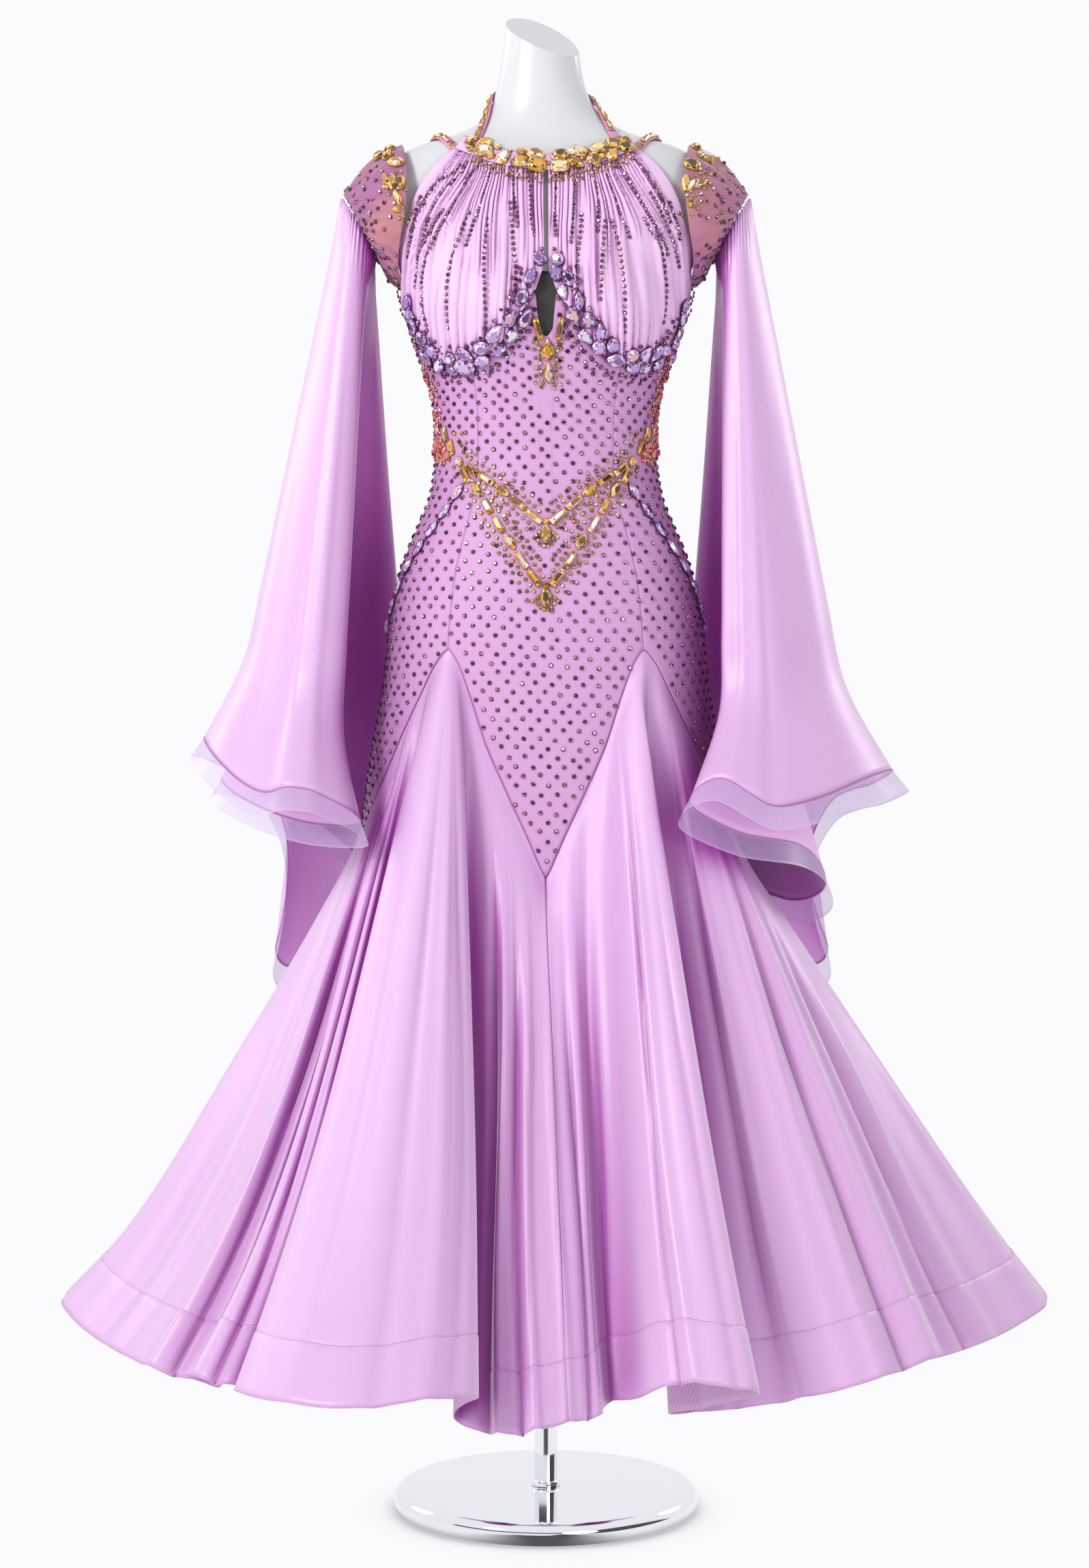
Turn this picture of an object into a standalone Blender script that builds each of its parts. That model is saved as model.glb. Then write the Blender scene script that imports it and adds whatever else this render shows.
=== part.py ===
"""Ballroom dance dress on a limbless dress form with a round chrome stand. Metres, +Z up.

The origin is the middle of the stand's underside. -Y is the front, and left means the viewer's left, -X.
Each piece of cloth is a thin closed wall: a grid of points on its middle surface, moved out and in by
half the cloth's thickness. The wall's grid comes from the tables of sections and folds below.
"""

import math
from collections import namedtuple

import bpy
import numpy as np
from mathutils import Vector
from mathutils.bvhtree import BVHTree

CLOTH = 0.0012  # thickness of every cloth wall
SEAM = 0.0004  # gap between two pieces of one surface where they are sewn
TURNED_SEAM = 0.0013  # the same where the two pieces leave the seam at an angle
EASE = 0.0040  # from the form's skin to the middle of the fitted cloth
CUP_EASE = 0.0018  # the gathered cups stand out this much more
TRIM_LIFT = 0.0027  # from the fitted cloth's middle to the underside of a stone trim
CLOSE_LIFT = 0.0021  # the same where the cloth below is rounded outwards
GATHERS_LIFT = 0.0058  # the same over the gathers of the cups
TRIM_BASE = 0.0010  # backing of a stone trim
FORM_BOTTOM = 0.80

# The form from its flat bottom to the neck: half width, depth in front and behind, and squareness.
Section = namedtuple("Section", "z half_width front back square")
FORM_SECTIONS = [
    Section(0.800, 0.1560, 0.110, 0.104, 2.2),
    Section(0.840, 0.1575, 0.111, 0.107, 2.2),
    Section(0.880, 0.1570, 0.111, 0.108, 2.2),
    Section(0.920, 0.1545, 0.108, 0.106, 2.2),
    Section(0.960, 0.1470, 0.102, 0.101, 2.2),
    Section(0.990, 0.1370, 0.096, 0.094, 2.2),
    Section(1.020, 0.1240, 0.089, 0.085, 2.2),
    Section(1.050, 0.1130, 0.082, 0.078, 2.2),
    Section(1.085, 0.1085, 0.079, 0.074, 2.2),
    Section(1.120, 0.1090, 0.082, 0.076, 2.2),
    Section(1.150, 0.1130, 0.088, 0.080, 2.2),
    Section(1.180, 0.1230, 0.094, 0.084, 2.3),
    Section(1.210, 0.1330, 0.101, 0.088, 2.3),
    Section(1.240, 0.1390, 0.105, 0.091, 2.3),
    Section(1.265, 0.1440, 0.103, 0.092, 2.3),
    Section(1.290, 0.1560, 0.097, 0.090, 2.4),
    Section(1.315, 0.1680, 0.088, 0.086, 2.5),
    Section(1.342, 0.1740, 0.077, 0.081, 2.5),
    Section(1.366, 0.1700, 0.067, 0.076, 2.5),
    Section(1.387, 0.1560, 0.058, 0.071, 2.5),
    Section(1.401, 0.1300, 0.052, 0.068, 2.4),
    Section(1.412, 0.0930, 0.048, 0.065, 2.2),
    Section(1.426, 0.0660, 0.045, 0.062, 2.1),
    Section(1.447, 0.0500, 0.042, 0.058, 2.0),
    Section(1.485, 0.0405, 0.037, 0.052, 2.0),
    Section(1.560, 0.0330, 0.031, 0.046, 2.0),
]
# Below the hip the fitted panels run to points that the godets pull outwards.
YOKE_SECTIONS = [
    Section(0.620, 0.1980, 0.150, 0.150, 2.0),
    Section(0.690, 0.1900, 0.140, 0.140, 2.0),
    Section(0.750, 0.1830, 0.130, 0.130, 2.1),
    Section(0.800, 0.1750, 0.123, 0.121, 2.2),
    Section(0.850, 0.1660, 0.116, 0.113, 2.2),
]
YOKE_TOP = 0.90
Mound = namedtuple("Mound", "x z reach_x reach_z forward")
NECK_LEAN = -0.0050  # the neck stands this far to the left of the middle
BUST_CUP = Mound(0.066, 1.232, 0.050, 0.046, 0.016)

# The neck is cut off on a plane that falls to the right and to the front.
NECK_CUT_POINT = Vector((-0.004, 0.01, 1.517))
NECK_CUT_NORMAL = Vector((0.33, -0.42, 0.85))

# The seam between the fitted body and the godets: angle from the front, and height.
SeamPoint = namedtuple("SeamPoint", "angle z")
GODET_SEAM = [
    SeamPoint(0, 0.662),
    SeamPoint(8, 0.722),
    SeamPoint(16, 0.782),
    SeamPoint(25, 0.845),
    SeamPoint(31, 0.878),
    SeamPoint(35, 0.888),
    SeamPoint(40, 0.876),
    SeamPoint(48, 0.838),
    SeamPoint(60, 0.775),
    SeamPoint(73, 0.722),
    SeamPoint(85, 0.695),
    SeamPoint(97, 0.722),
    SeamPoint(111, 0.775),
    SeamPoint(126, 0.836),
    SeamPoint(136, 0.876),
    SeamPoint(143, 0.888),
    SeamPoint(150, 0.862),
    SeamPoint(160, 0.798),
    SeamPoint(170, 0.734),
    SeamPoint(180, 0.670),
]
# The body's panels: the angles of their columns, from seam to seam. A godet's top is at each seam.
FRONT_COLUMNS = [-35, -32, -28, -23, -17, -11, -5.5, 0, 5.5, 11, 17, 23, 28, 32, 35]
SIDE_COLUMNS = [35, 39, 44, 50, 56, 61, 66, 73, 80, 87, 96, 106, 117, 128, 136, 140, 143]
BACK_COLUMNS = [143, 146, 150, 157, 168, 180]

# Where the fitted body meets the bust cups, and the top edge of the back: half of it.
EdgePoint = namedtuple("EdgePoint", "x z")
UNDERBUST = [
    EdgePoint(0.0105, 1.2430),
    EdgePoint(0.0190, 1.2310),
    EdgePoint(0.0300, 1.2150),
    EdgePoint(0.0400, 1.2000),
    EdgePoint(0.0520, 1.1860),
    EdgePoint(0.0680, 1.1760),
    EdgePoint(0.0860, 1.1730),
    EdgePoint(0.1040, 1.1790),
    EdgePoint(0.1180, 1.1920),
    EdgePoint(0.1300, 1.2150),
]
UNDERBUST_SIDE_Z = 1.243
BACK_TOP_Z = 1.268
KEYHOLE_BOTTOM = 1.197
KEYHOLE_SIDE = EdgePoint(0.0085, 1.2120)
SLOT_HALF = 0.0026  # half of the slit above the keyhole
SLOT_BOTTOM = 1.272
NECKLINE = [EdgePoint(0.0, 1.3760), EdgePoint(0.036, 1.3810), EdgePoint(0.0740, 1.3980)]
CUP_EDGE = [
    EdgePoint(0.0740, 1.3980),
    EdgePoint(0.0900, 1.3900),
    EdgePoint(0.1080, 1.3760),
    EdgePoint(0.1230, 1.3560),
    EdgePoint(0.1330, 1.3340),
    EdgePoint(0.1385, 1.3100),
]
CUP_PLEATS = 14
PLEAT_HEIGHT = 0.0026

# A godet's folds at the hem: where each leaves the seam, and where it is in plan and in height.
Fold = namedtuple("Fold", "name angle x y z")
HEM_FOLDS = [
    Fold("side_left", -85, -0.502, 0.040, 0.216),
    Fold("left_flat", -74, -0.468, -0.095, 0.207),
    Fold("left_roll", -62, -0.398, -0.235, 0.206),
    Fold("left_tip", -57, -0.360, -0.292, 0.204),
    Fold("left_valley", -53, -0.300, -0.268, 0.186),
    Fold("small_ridge_left", -50, -0.330, -0.336, 0.212),
    Fold("small_ridge_right", -47.5, -0.300, -0.366, 0.212),
    Fold("small_valley", -44, -0.238, -0.322, 0.186),
    Fold("panel_left_edge", -40, -0.284, -0.420, 0.218),
    Fold("panel_left", -37.5, -0.250, -0.478, 0.222),
    Fold("panel_middle", -35.5, -0.185, -0.514, 0.222),
    Fold("panel_right", -33.5, -0.116, -0.502, 0.226),
    Fold("panel_right_edge", -31, -0.050, -0.450, 0.220),
    Fold("front_valley", -24, -0.100, -0.352, 0.180),
    Fold("middle_left", -15, -0.050, -0.406, 0.174),
    Fold("middle_fold", -9, -0.020, -0.426, 0.180),
    Fold("middle_seam", 0, 0.018, -0.408, 0.184),
    Fold("middle_edge", 6, 0.053, -0.386, 0.187),
    Fold("crease_valley", 11, 0.050, -0.330, 0.186),
    Fold("right_rise", 17, 0.086, -0.364, 0.196),
    Fold("right_ridge_left", 22, 0.112, -0.426, 0.226),
    Fold("right_ridge", 27, 0.162, -0.452, 0.228),
    Fold("right_ridge_edge", 30.5, 0.210, -0.426, 0.216),
    Fold("right_valley", 37, 0.088, -0.318, 0.170),
    Fold("right_panel_start", 41, 0.182, -0.322, 0.178),
    Fold("right_panel", 46, 0.268, -0.340, 0.198),
    Fold("right_panel_wide", 51, 0.336, -0.304, 0.210),
    Fold("right_panel_edge", 56, 0.386, -0.246, 0.216),
    Fold("right_side_valley", 62, 0.352, -0.180, 0.186),
    Fold("right_side_fold", 68, 0.418, -0.158, 0.200),
    Fold("right_side_flat", 76, 0.482, -0.062, 0.204),
    Fold("side_right", 85, 0.530, 0.046, 0.214),
    Fold("back_right_turn", 93, 0.478, 0.150, 0.222),
    Fold("back_right_valley", 101, 0.392, 0.150, 0.190),
    Fold("back_right_ridge", 109, 0.442, 0.252, 0.216),
    Fold("back_right_panel", 119, 0.372, 0.350, 0.218),
    Fold("back_right_deep", 129, 0.272, 0.300, 0.184),
    Fold("back_right_inner", 136, 0.292, 0.408, 0.214),
    Fold("back_right_wide", 144, 0.210, 0.474, 0.224),
    Fold("back_right_edge", 152, 0.128, 0.468, 0.218),
    Fold("back_mid_valley", 161, 0.118, 0.372, 0.184),
    Fold("back_mid_right", 170, 0.068, 0.448, 0.208),
    Fold("back_seam", 180, -0.008, 0.470, 0.212),
    Fold("back_mid_left", 189, -0.078, 0.440, 0.206),
    Fold("back_left_hollow", 198, -0.112, 0.358, 0.182),
    Fold("back_left_edge", 206, -0.150, 0.462, 0.218),
    Fold("back_left_wide", 215, -0.232, 0.464, 0.222),
    Fold("back_left_inner", 223, -0.292, 0.384, 0.212),
    Fold("back_left_deep", 231, -0.262, 0.288, 0.184),
    Fold("back_left_panel", 241, -0.362, 0.330, 0.216),
    Fold("back_left_ridge", 251, -0.430, 0.240, 0.216),
    Fold("back_left_valley", 259, -0.392, 0.142, 0.190),
    Fold("back_left_turn", 267, -0.462, 0.142, 0.222),
]
HEM_TURN = 275  # the seam angle where the round of folds closes on its first
FLARE_LINEAR = 0.885  # share of the flare that grows evenly down the godet
FLARE_MORE = 0.10  # more of it on the right and less on the left, this much half a metre out
BACK_FALL = 0.30  # less of it behind
FLARE_POWER = 5.0  # the rest comes in near the hem
FOLD_POWER = 0.92
FOLD_SPREAD = 3.2  # rows of folds over which the plain flared ring is averaged

# A bell sleeve's rows: the turn on the seam with the cap, from the outside forwards, and the hem.
SleeveRow = namedtuple("SleeveRow", "name turn x y z")
SLEEVE_RIGHT = [
    SleeveRow("outer", 0, 0.357, -0.030, 0.769),
    SleeveRow("outer_front", 25, 0.307, -0.125, 0.757),
    SleeveRow("front_trough", 50, 0.231, -0.195, 0.735),
    SleeveRow("front_rise", 70, 0.200, -0.200, 0.747),
    SleeveRow("front_crest", 90, 0.167, -0.185, 0.765),
    SleeveRow("front_edge", 115, 0.138, -0.182, 0.746),
    SleeveRow("inner_corner", 132, 0.147, -0.160, 0.730),
    SleeveRow("near_inner", 148, 0.196, -0.138, 0.707),
    SleeveRow("near_middle", 162, 0.250, -0.086, 0.696),
    SleeveRow("near_curl", 174, 0.280, -0.020, 0.673),
    SleeveRow("curl_low", 186, 0.290, 0.040, 0.640),
    SleeveRow("curl_inside", 200, 0.262, 0.090, 0.622),
    SleeveRow("back_turn", 216, 0.200, 0.150, 0.640),
    SleeveRow("back_inner", 232, 0.124, 0.222, 0.606),
    SleeveRow("back_low", 252, 0.200, 0.272, 0.552),
    SleeveRow("back_tip", 276, 0.318, 0.266, 0.538),
    SleeveRow("far_fold", 294, 0.300, 0.216, 0.588),
    SleeveRow("far_middle", 308, 0.280, 0.160, 0.672),
    SleeveRow("far_high", 326, 0.304, 0.110, 0.734),
    SleeveRow("far_outer", 344, 0.338, 0.044, 0.748),
]
SLEEVE_LEFT = [
    SleeveRow("outer", 0, 0.351, -0.020, 0.801),
    SleeveRow("outer_front", 25, 0.324, -0.100, 0.775),
    SleeveRow("front_trough", 50, 0.280, -0.165, 0.748),
    SleeveRow("front_crest", 70, 0.253, -0.185, 0.756),
    SleeveRow("front_middle", 90, 0.219, -0.182, 0.747),
    SleeveRow("front_edge", 115, 0.180, -0.156, 0.724),
    SleeveRow("inner_corner", 132, 0.188, -0.126, 0.714),
    SleeveRow("near_inner", 148, 0.238, -0.092, 0.716),
    SleeveRow("near_middle", 162, 0.288, -0.032, 0.727),
    SleeveRow("near_outer", 174, 0.328, 0.010, 0.746),
    SleeveRow("near_curl", 186, 0.337, 0.047, 0.758),
    SleeveRow("curl_inside", 200, 0.285, 0.075, 0.745),
    SleeveRow("back_turn", 216, 0.205, 0.142, 0.670),
    SleeveRow("back_inner", 232, 0.124, 0.222, 0.606),
    SleeveRow("back_low", 252, 0.195, 0.268, 0.550),
    SleeveRow("back_tip", 276, 0.302, 0.262, 0.536),
    SleeveRow("far_fold", 294, 0.290, 0.212, 0.585),
    SleeveRow("far_middle", 308, 0.276, 0.156, 0.690),
    SleeveRow("far_high", 326, 0.308, 0.118, 0.764),
    SleeveRow("far_outer", 344, 0.340, 0.058, 0.792),
]
SLEEVE_FLARE = 0.30  # how far the hem kicks out, as a share of its distance from the ring's middle
BACK_CALM = 0.16  # this far behind, the long back of the sleeve hangs straight
KICK_START = 0.80  # share of the sleeve's length above the flared hem
BRAID_WIDTH = 0.024  # stiff net braid on a sleeve's hem
BRAID = 0.0010
# The bell's seam with the cap: a tilted ring, its middle and its reach to the outside, the front and up.
BELL_MIDDLE = (0.1905, 0.0, 1.3205)
BELL_REACH = (0.0175, 0.048, 0.0275)

# The sheer cap: a tube round the shoulder. Its edge at the armhole, at even turns. Right side.
CapRow = namedtuple("CapRow", "name x y z")
ARMHOLE = [
    CapRow("top", 0.1480, 0.004, 1.4030),
    CapRow("top_front", 0.1430, -0.036, 1.3930),
    CapRow("front", 0.1385, -0.068, 1.3580),
    CapRow("front_low", 0.1420, -0.080, 1.3160),
    CapRow("front_seam", 0.1480, -0.062, 1.2820),
    CapRow("under_front", 0.1474, -0.036, 1.2640),
    CapRow("under", 0.1462, 0.004, 1.2570),
    CapRow("under_back", 0.1474, 0.038, 1.2660),
    CapRow("back_seam", 0.1540, 0.066, 1.2880),
    CapRow("back_low", 0.1520, 0.082, 1.3180),
    CapRow("back", 0.1450, 0.084, 1.3580),
    CapRow("top_back", 0.1440, 0.052, 1.3930),
]
CAP_BULGE = 0.008  # how far the cap puffs out between its two seams

BASE_RADIUS = 0.158
BASE_THICKNESS = 0.024
POLE_RADIUS = 0.0119
TOUCH = 0.0003  # gap between two solids that bear on each other

Paint = namedtuple("Paint", "name colour roughness metallic")
SATIN = Paint("satin", (0.66, 0.36, 0.74), 0.36, 0.0)
STRETCH = Paint("stretch_knit", (0.62, 0.33, 0.70), 0.55, 0.0)
SHEER = Paint("sheer_mesh", (0.74, 0.48, 0.62), 0.60, 0.0)
BRAIDED = Paint("net_braid", (0.74, 0.60, 0.82), 0.50, 0.0)
GOLD = Paint("gold_stones", (0.80, 0.48, 0.10), 0.12, 0.6)
VIOLET = Paint("violet_stones", (0.42, 0.26, 0.62), 0.12, 0.4)
LACQUER = Paint("form_lacquer", (0.80, 0.81, 0.83), 0.20, 0.0)
CHROME = Paint("chrome", (0.82, 0.83, 0.85), 0.06, 1.0)


def clear_scene():
    for item in list(bpy.data.objects):
        bpy.data.objects.remove(item, do_unlink=True)


def material_of(paint):
    made = bpy.data.materials.get(paint.name)
    if made is None:
        made = bpy.data.materials.new(paint.name)
        made.use_nodes = True
        surface = made.node_tree.nodes["Principled BSDF"]
        surface.inputs["Base Color"].default_value = (*paint.colour, 1.0)
        surface.inputs["Roughness"].default_value = paint.roughness
        surface.inputs["Metallic"].default_value = paint.metallic
    return made


def monotone(knots, values, at):
    """Smooth interpolation of values over rising knots, with no overshoot between them."""
    knots = np.asarray(knots, float)
    values = np.asarray(values, float)
    at = np.clip(np.asarray(at, float), knots[0], knots[-1])
    step = np.diff(knots)
    rise = np.diff(values) / step
    slope = np.zeros_like(values)
    same = rise[:-1] * rise[1:] > 0
    before = 2 * step[1:] + step[:-1]
    after = step[1:] + 2 * step[:-1]
    safe_a = np.where(same, rise[:-1], 1.0)
    safe_b = np.where(same, rise[1:], 1.0)
    slope[1:-1] = np.where(same, (before + after) / (before / safe_a + after / safe_b), 0.0)
    slope[0], slope[-1] = rise[0], rise[-1]
    i = np.clip(np.searchsorted(knots, at, side="right") - 1, 0, len(step) - 1)
    t = (at - knots[i]) / step[i]
    return (
        values[i] * (1 + 2 * t) * (1 - t) ** 2
        + step[i] * slope[i] * t * (1 - t) ** 2
        + values[i + 1] * t * t * (3 - 2 * t)
        + step[i] * slope[i + 1] * t * t * (t - 1)
    )


def round_curve(points, samples):
    """A closed smooth curve through the points, with that many samples between each two."""
    points = np.asarray(points, float)
    share = np.arange(samples)[:, None] / samples
    out = []
    for i in range(len(points)):
        p0, p1, p2, p3 = (points[(i + k) % len(points)] for k in (-1, 0, 1, 2))
        chord = max(np.linalg.norm(p2 - p1), 1e-9) ** 0.5
        before = max(np.linalg.norm(p1 - p0), 1e-9) ** 0.5
        after = max(np.linalg.norm(p3 - p2), 1e-9) ** 0.5
        m1 = (p2 - p1) + chord * ((p1 - p0) / before - (p2 - p0) / (before + chord))
        m2 = (p2 - p1) + chord * ((p3 - p2) / after - (p3 - p1) / (after + chord))
        t2, t3 = share**2, share**3
        out.append(
            (2 * t3 - 3 * t2 + 1) * p1
            + (t3 - 2 * t2 + share) * m1
            + (3 * t2 - 2 * t3) * p2
            + (t3 - t2) * m2
        )
    return np.concatenate(out)


def section_table(rows):
    return {key: np.array([getattr(row, key) for row in rows]) for key in Section._fields}


FORM_TABLE = section_table(FORM_SECTIONS)
FITTED_TABLE = section_table(
    YOKE_SECTIONS
    + [
        row._replace(
            half_width=row.half_width + EASE, front=row.front + EASE, back=row.back + EASE
        )
        for row in FORM_SECTIONS
        if row.z >= YOKE_TOP
    ]
)


def bust_forward(x, z):
    """How far the general bust stands forward of the plain torso."""
    across = (np.abs(x) - BUST_CUP.x) / BUST_CUP.reach_x
    up = (z - BUST_CUP.z) / BUST_CUP.reach_z
    return BUST_CUP.forward * np.exp(-(across**2) - up**2)


def on_section(table, angle, z):
    """Points of a torso table at these angles from the front, in degrees, and heights."""
    angle, z = np.broadcast_arrays(np.asarray(angle, float), np.asarray(z, float))
    width, front, back, square = (
        monotone(table["z"], table[key], z) for key in ("half_width", "front", "back", "square")
    )
    turn = np.radians(angle)
    sine, cosine = np.sin(turn), np.cos(turn)
    x = width * np.sign(sine) * np.abs(sine) ** (2 / square)
    depth = np.where(cosine > 0, front, back)
    y = -depth * np.sign(cosine) * np.abs(cosine) ** (2 / square)
    y = y - np.where(cosine > 0, bust_forward(x, z) * np.clip(cosine * 2, 0, 1), 0.0)
    return np.stack([x, y, z], axis=-1)


def angle_at(x, z):
    """The angle from the front where the fitted cloth is this far to the side."""
    width = monotone(FITTED_TABLE["z"], FITTED_TABLE["half_width"], z)
    square = monotone(FITTED_TABLE["z"], FITTED_TABLE["square"], z)
    share = np.clip(np.abs(x) / width, 0, 1) ** (square / 2)
    return np.sign(x) * np.degrees(np.arcsin(share))


def normals_of(grid, around):
    """Unit normals of a grid of points, from the differences between neighbours."""
    down = np.gradient(grid, axis=0)
    if around:
        across = (np.roll(grid, -1, axis=1) - np.roll(grid, 1, axis=1)) / 2
    else:
        across = np.gradient(grid, axis=1)
    normal = np.cross(across, down)
    size = np.linalg.norm(normal, axis=-1, keepdims=True)
    return normal / np.maximum(size, 1e-12)


def solid_from(name, points, faces, paint, smooth=True):
    mesh = bpy.data.meshes.new(name)
    mesh.from_pydata([tuple(p) for p in points], [], [tuple(f) for f in faces])
    mesh.materials.append(material_of(paint))
    if smooth:
        mesh.shade_smooth()
        mesh.set_sharp_from_angle(angle=math.radians(50))
    made = bpy.data.objects.new(name, mesh)
    bpy.context.scene.collection.objects.link(made)
    return made


def signed_volume(points, faces):
    total = 0.0
    for face in faces:
        for k in range(1, len(face) - 1):
            a, b, c = points[face[0]], points[face[k]], points[face[k + 1]]
            total += np.dot(a, np.cross(b, c))
    return total


def wall(name, outer, inner, paint, around=False):
    """A closed solid between two grids of the same size; around joins the last column to the first."""
    rows, cols = outer.shape[:2]
    points = np.concatenate([outer.reshape(-1, 3), inner.reshape(-1, 3)])
    back = rows * cols
    spans = cols if around else cols - 1
    faces = []
    for r in range(rows - 1):
        for c in range(spans):
            a, b = r * cols + c, r * cols + (c + 1) % cols
            d, e = a + cols, b + cols
            faces.append((a, b, e, d))
            faces.append((back + a, back + d, back + e, back + b))
    for c in range(spans):
        a, b = c, (c + 1) % cols
        faces.append((a, back + a, back + b, b))
        a, b = a + (rows - 1) * cols, b + (rows - 1) * cols
        faces.append((a, b, back + b, back + a))
    if not around:
        for r in range(rows - 1):
            a = r * cols
            faces.append((a, a + cols, back + a + cols, back + a))
            a = r * cols + cols - 1
            faces.append((a, back + a, back + a + cols, a + cols))
    if signed_volume(points, faces) < 0:
        faces = [face[::-1] for face in faces]
    return solid_from(name, points, faces, paint)


def cloth(name, middle, paint, around=False, relief=None, thickness=CLOTH, outward=None):
    """A wall of even thickness about a middle surface, with relief added to its outer points only."""
    normal = normals_of(middle, around)
    if outward is not None and np.sum(normal * outward(middle)) < 0:
        normal = -normal
    raised = 0.0 if relief is None else relief[..., None]
    outer = middle + normal * (thickness / 2 + raised)
    inner = middle - normal * thickness / 2
    return wall(name, outer, inner, paint, around)


def from_axis(grid):
    """Directions away from the dress's own upright axis."""
    return grid * np.array([1.0, 1.0, 0.0])


def ring_to_faces(rows, cols):
    return [
        (r * cols + c, r * cols + (c + 1) % cols, (r + 1) * cols + (c + 1) % cols, (r + 1) * cols + c)
        for r in range(rows - 1)
        for c in range(cols)
    ]


def dress_form():
    """The smooth form: torso, rounded shoulders and a neck cut off on a slant."""
    columns = 24
    heights = [0.80, 0.87, 0.93, 0.98, 1.02, 1.06, 1.10, 1.14, 1.18, 1.21, 1.24]
    heights += [1.27, 1.30, 1.33, 1.36, 1.38, 1.394, 1.405, 1.416, 1.43, 1.45, 1.485, 1.56]
    angles = np.arange(columns) * 360 / columns
    points = np.concatenate([on_section(FORM_TABLE, angles, z) for z in heights])
    points[:, 0] += NECK_LEAN * monotone([1.40, 1.43, 1.47, 1.56], [0, 0.5, 1, 1], points[:, 2])
    faces = [face[::-1] for face in ring_to_faces(len(heights), columns)]
    faces.append(tuple(range(columns)))
    faces.append(tuple(range((len(heights) - 1) * columns, len(heights) * columns))[::-1])
    if signed_volume(points, faces) < 0:
        faces = [face[::-1] for face in faces]
    form = solid_from("dress_form", points, faces, LACQUER)
    cut_off(form.data, NECK_CUT_POINT, NECK_CUT_NORMAL)
    return form


def cut_off(mesh, point, normal):
    """Removes what lies beyond a plane and closes the cut."""
    import bmesh

    work = bmesh.new()
    work.from_mesh(mesh)
    geometry = work.verts[:] + work.edges[:] + work.faces[:]
    cut = bmesh.ops.bisect_plane(
        work, geom=geometry, plane_co=point, plane_no=normal, clear_outer=True
    )
    rim = [item for item in cut["geom_cut"] if isinstance(item, bmesh.types.BMEdge)]
    bmesh.ops.contextual_create(work, geom=rim)
    bmesh.ops.recalc_face_normals(work, faces=work.faces[:])
    work.to_mesh(mesh)
    work.free()


def turned(name, profile, paint, columns):
    """A solid of revolution about the Z axis from (radius, z) points, bottom to top, closed at both ends."""
    angles = np.arange(columns) * 2 * math.pi / columns
    points = np.array(
        [(r * math.cos(a), r * math.sin(a), z) for r, z in profile for a in angles]
    )
    faces = ring_to_faces(len(profile), columns)
    faces.append(tuple(range(columns))[::-1])
    faces.append(tuple(range((len(profile) - 1) * columns, len(profile) * columns)))
    if signed_volume(points, faces) < 0:
        faces = [face[::-1] for face in faces]
    return solid_from(name, points, faces, paint)


def stand():
    """The round base with a bullnose rim, and the pole from it to the form's underside."""
    rim = BASE_THICKNESS / 2
    profile = [
        (BASE_RADIUS - rim + rim * math.cos(a), rim + rim * math.sin(a))
        for a in np.radians([-90, -50, -15, 15, 50, 90])
    ]
    turned("stand_base", profile, CHROME, 44)
    foot, top = BASE_THICKNESS + TOUCH, FORM_BOTTOM - TOUCH
    turned("stand_pole", [(POLE_RADIUS, foot), (POLE_RADIUS, top)], CHROME, 20)


def seam_height(angle):
    """Height of the godets' seam at an angle from the front."""
    folded = np.abs((np.asarray(angle, float) + 180) % 360 - 180)
    return monotone([p.angle for p in GODET_SEAM], [p.z for p in GODET_SEAM], folded)


def top_edge(angle):
    """Height of the fitted body's top edge: the keyhole, the line under the bust, and the back."""
    folded = np.abs((np.asarray(angle, float) + 180) % 360 - 180)
    edge = [KEYHOLE_SIDE] + UNDERBUST
    knots = [0.0] + [float(angle_at(p.x, p.z)) for p in edge] + [90.0, 112.0, 180.0]
    heights = [KEYHOLE_BOTTOM] + [p.z for p in edge]
    heights += [UNDERBUST_SIDE_Z, BACK_TOP_Z, BACK_TOP_Z]
    return monotone(knots, heights, folded)


def seam_gap(height_at, angle, gap):
    """The height that leaves this gap square to a sloping seam."""
    slope = (height_at(angle + 2) - height_at(angle - 2)) / math.radians(4.0) / 0.14
    return gap * np.sqrt(1 + np.minimum(slope**2, 16.0))


def fitted_panel(name, columns, side, rows):
    """A panel of the fitted body between two seams, from the godets' seam to the top edge."""
    angle = np.array(columns, float)
    inset = np.degrees(SEAM / 0.12)
    angle[0] += inset
    angle[-1] -= inset
    top = top_edge(angle) - SEAM / 2
    bottom = seam_height(angle) + SEAM / 2
    height = top + (bottom - top) * np.linspace(0, 1, rows)[:, None]
    cloth(name, on_section(FITTED_TABLE, side * angle, height), STRETCH, outward=from_axis)


def fitted_body():
    """The stoned body: centre front, two sides, and a back in two halves."""
    fitted_panel("body_front", FRONT_COLUMNS, 1.0, 10)
    for name, side in (("left", -1.0), ("right", 1.0)):
        fitted_panel(f"body_side_{name}", SIDE_COLUMNS, side, 10)
        fitted_panel(f"body_back_{name}", BACK_COLUMNS, side, 11)


def edge_in_angles(points, count):
    """A list of edge points as angles and heights, evenly spread along the edge."""
    x, z = np.array([p.x for p in points]), np.array([p.z for p in points])
    along = np.concatenate([[0], np.cumsum(np.hypot(np.diff(x), np.diff(z)))])
    at = np.linspace(0, along[-1], count)
    xs, zs = monotone(along, x, at), monotone(along, z, at)
    return np.stack([angle_at(xs, zs), zs], axis=-1)


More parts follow.
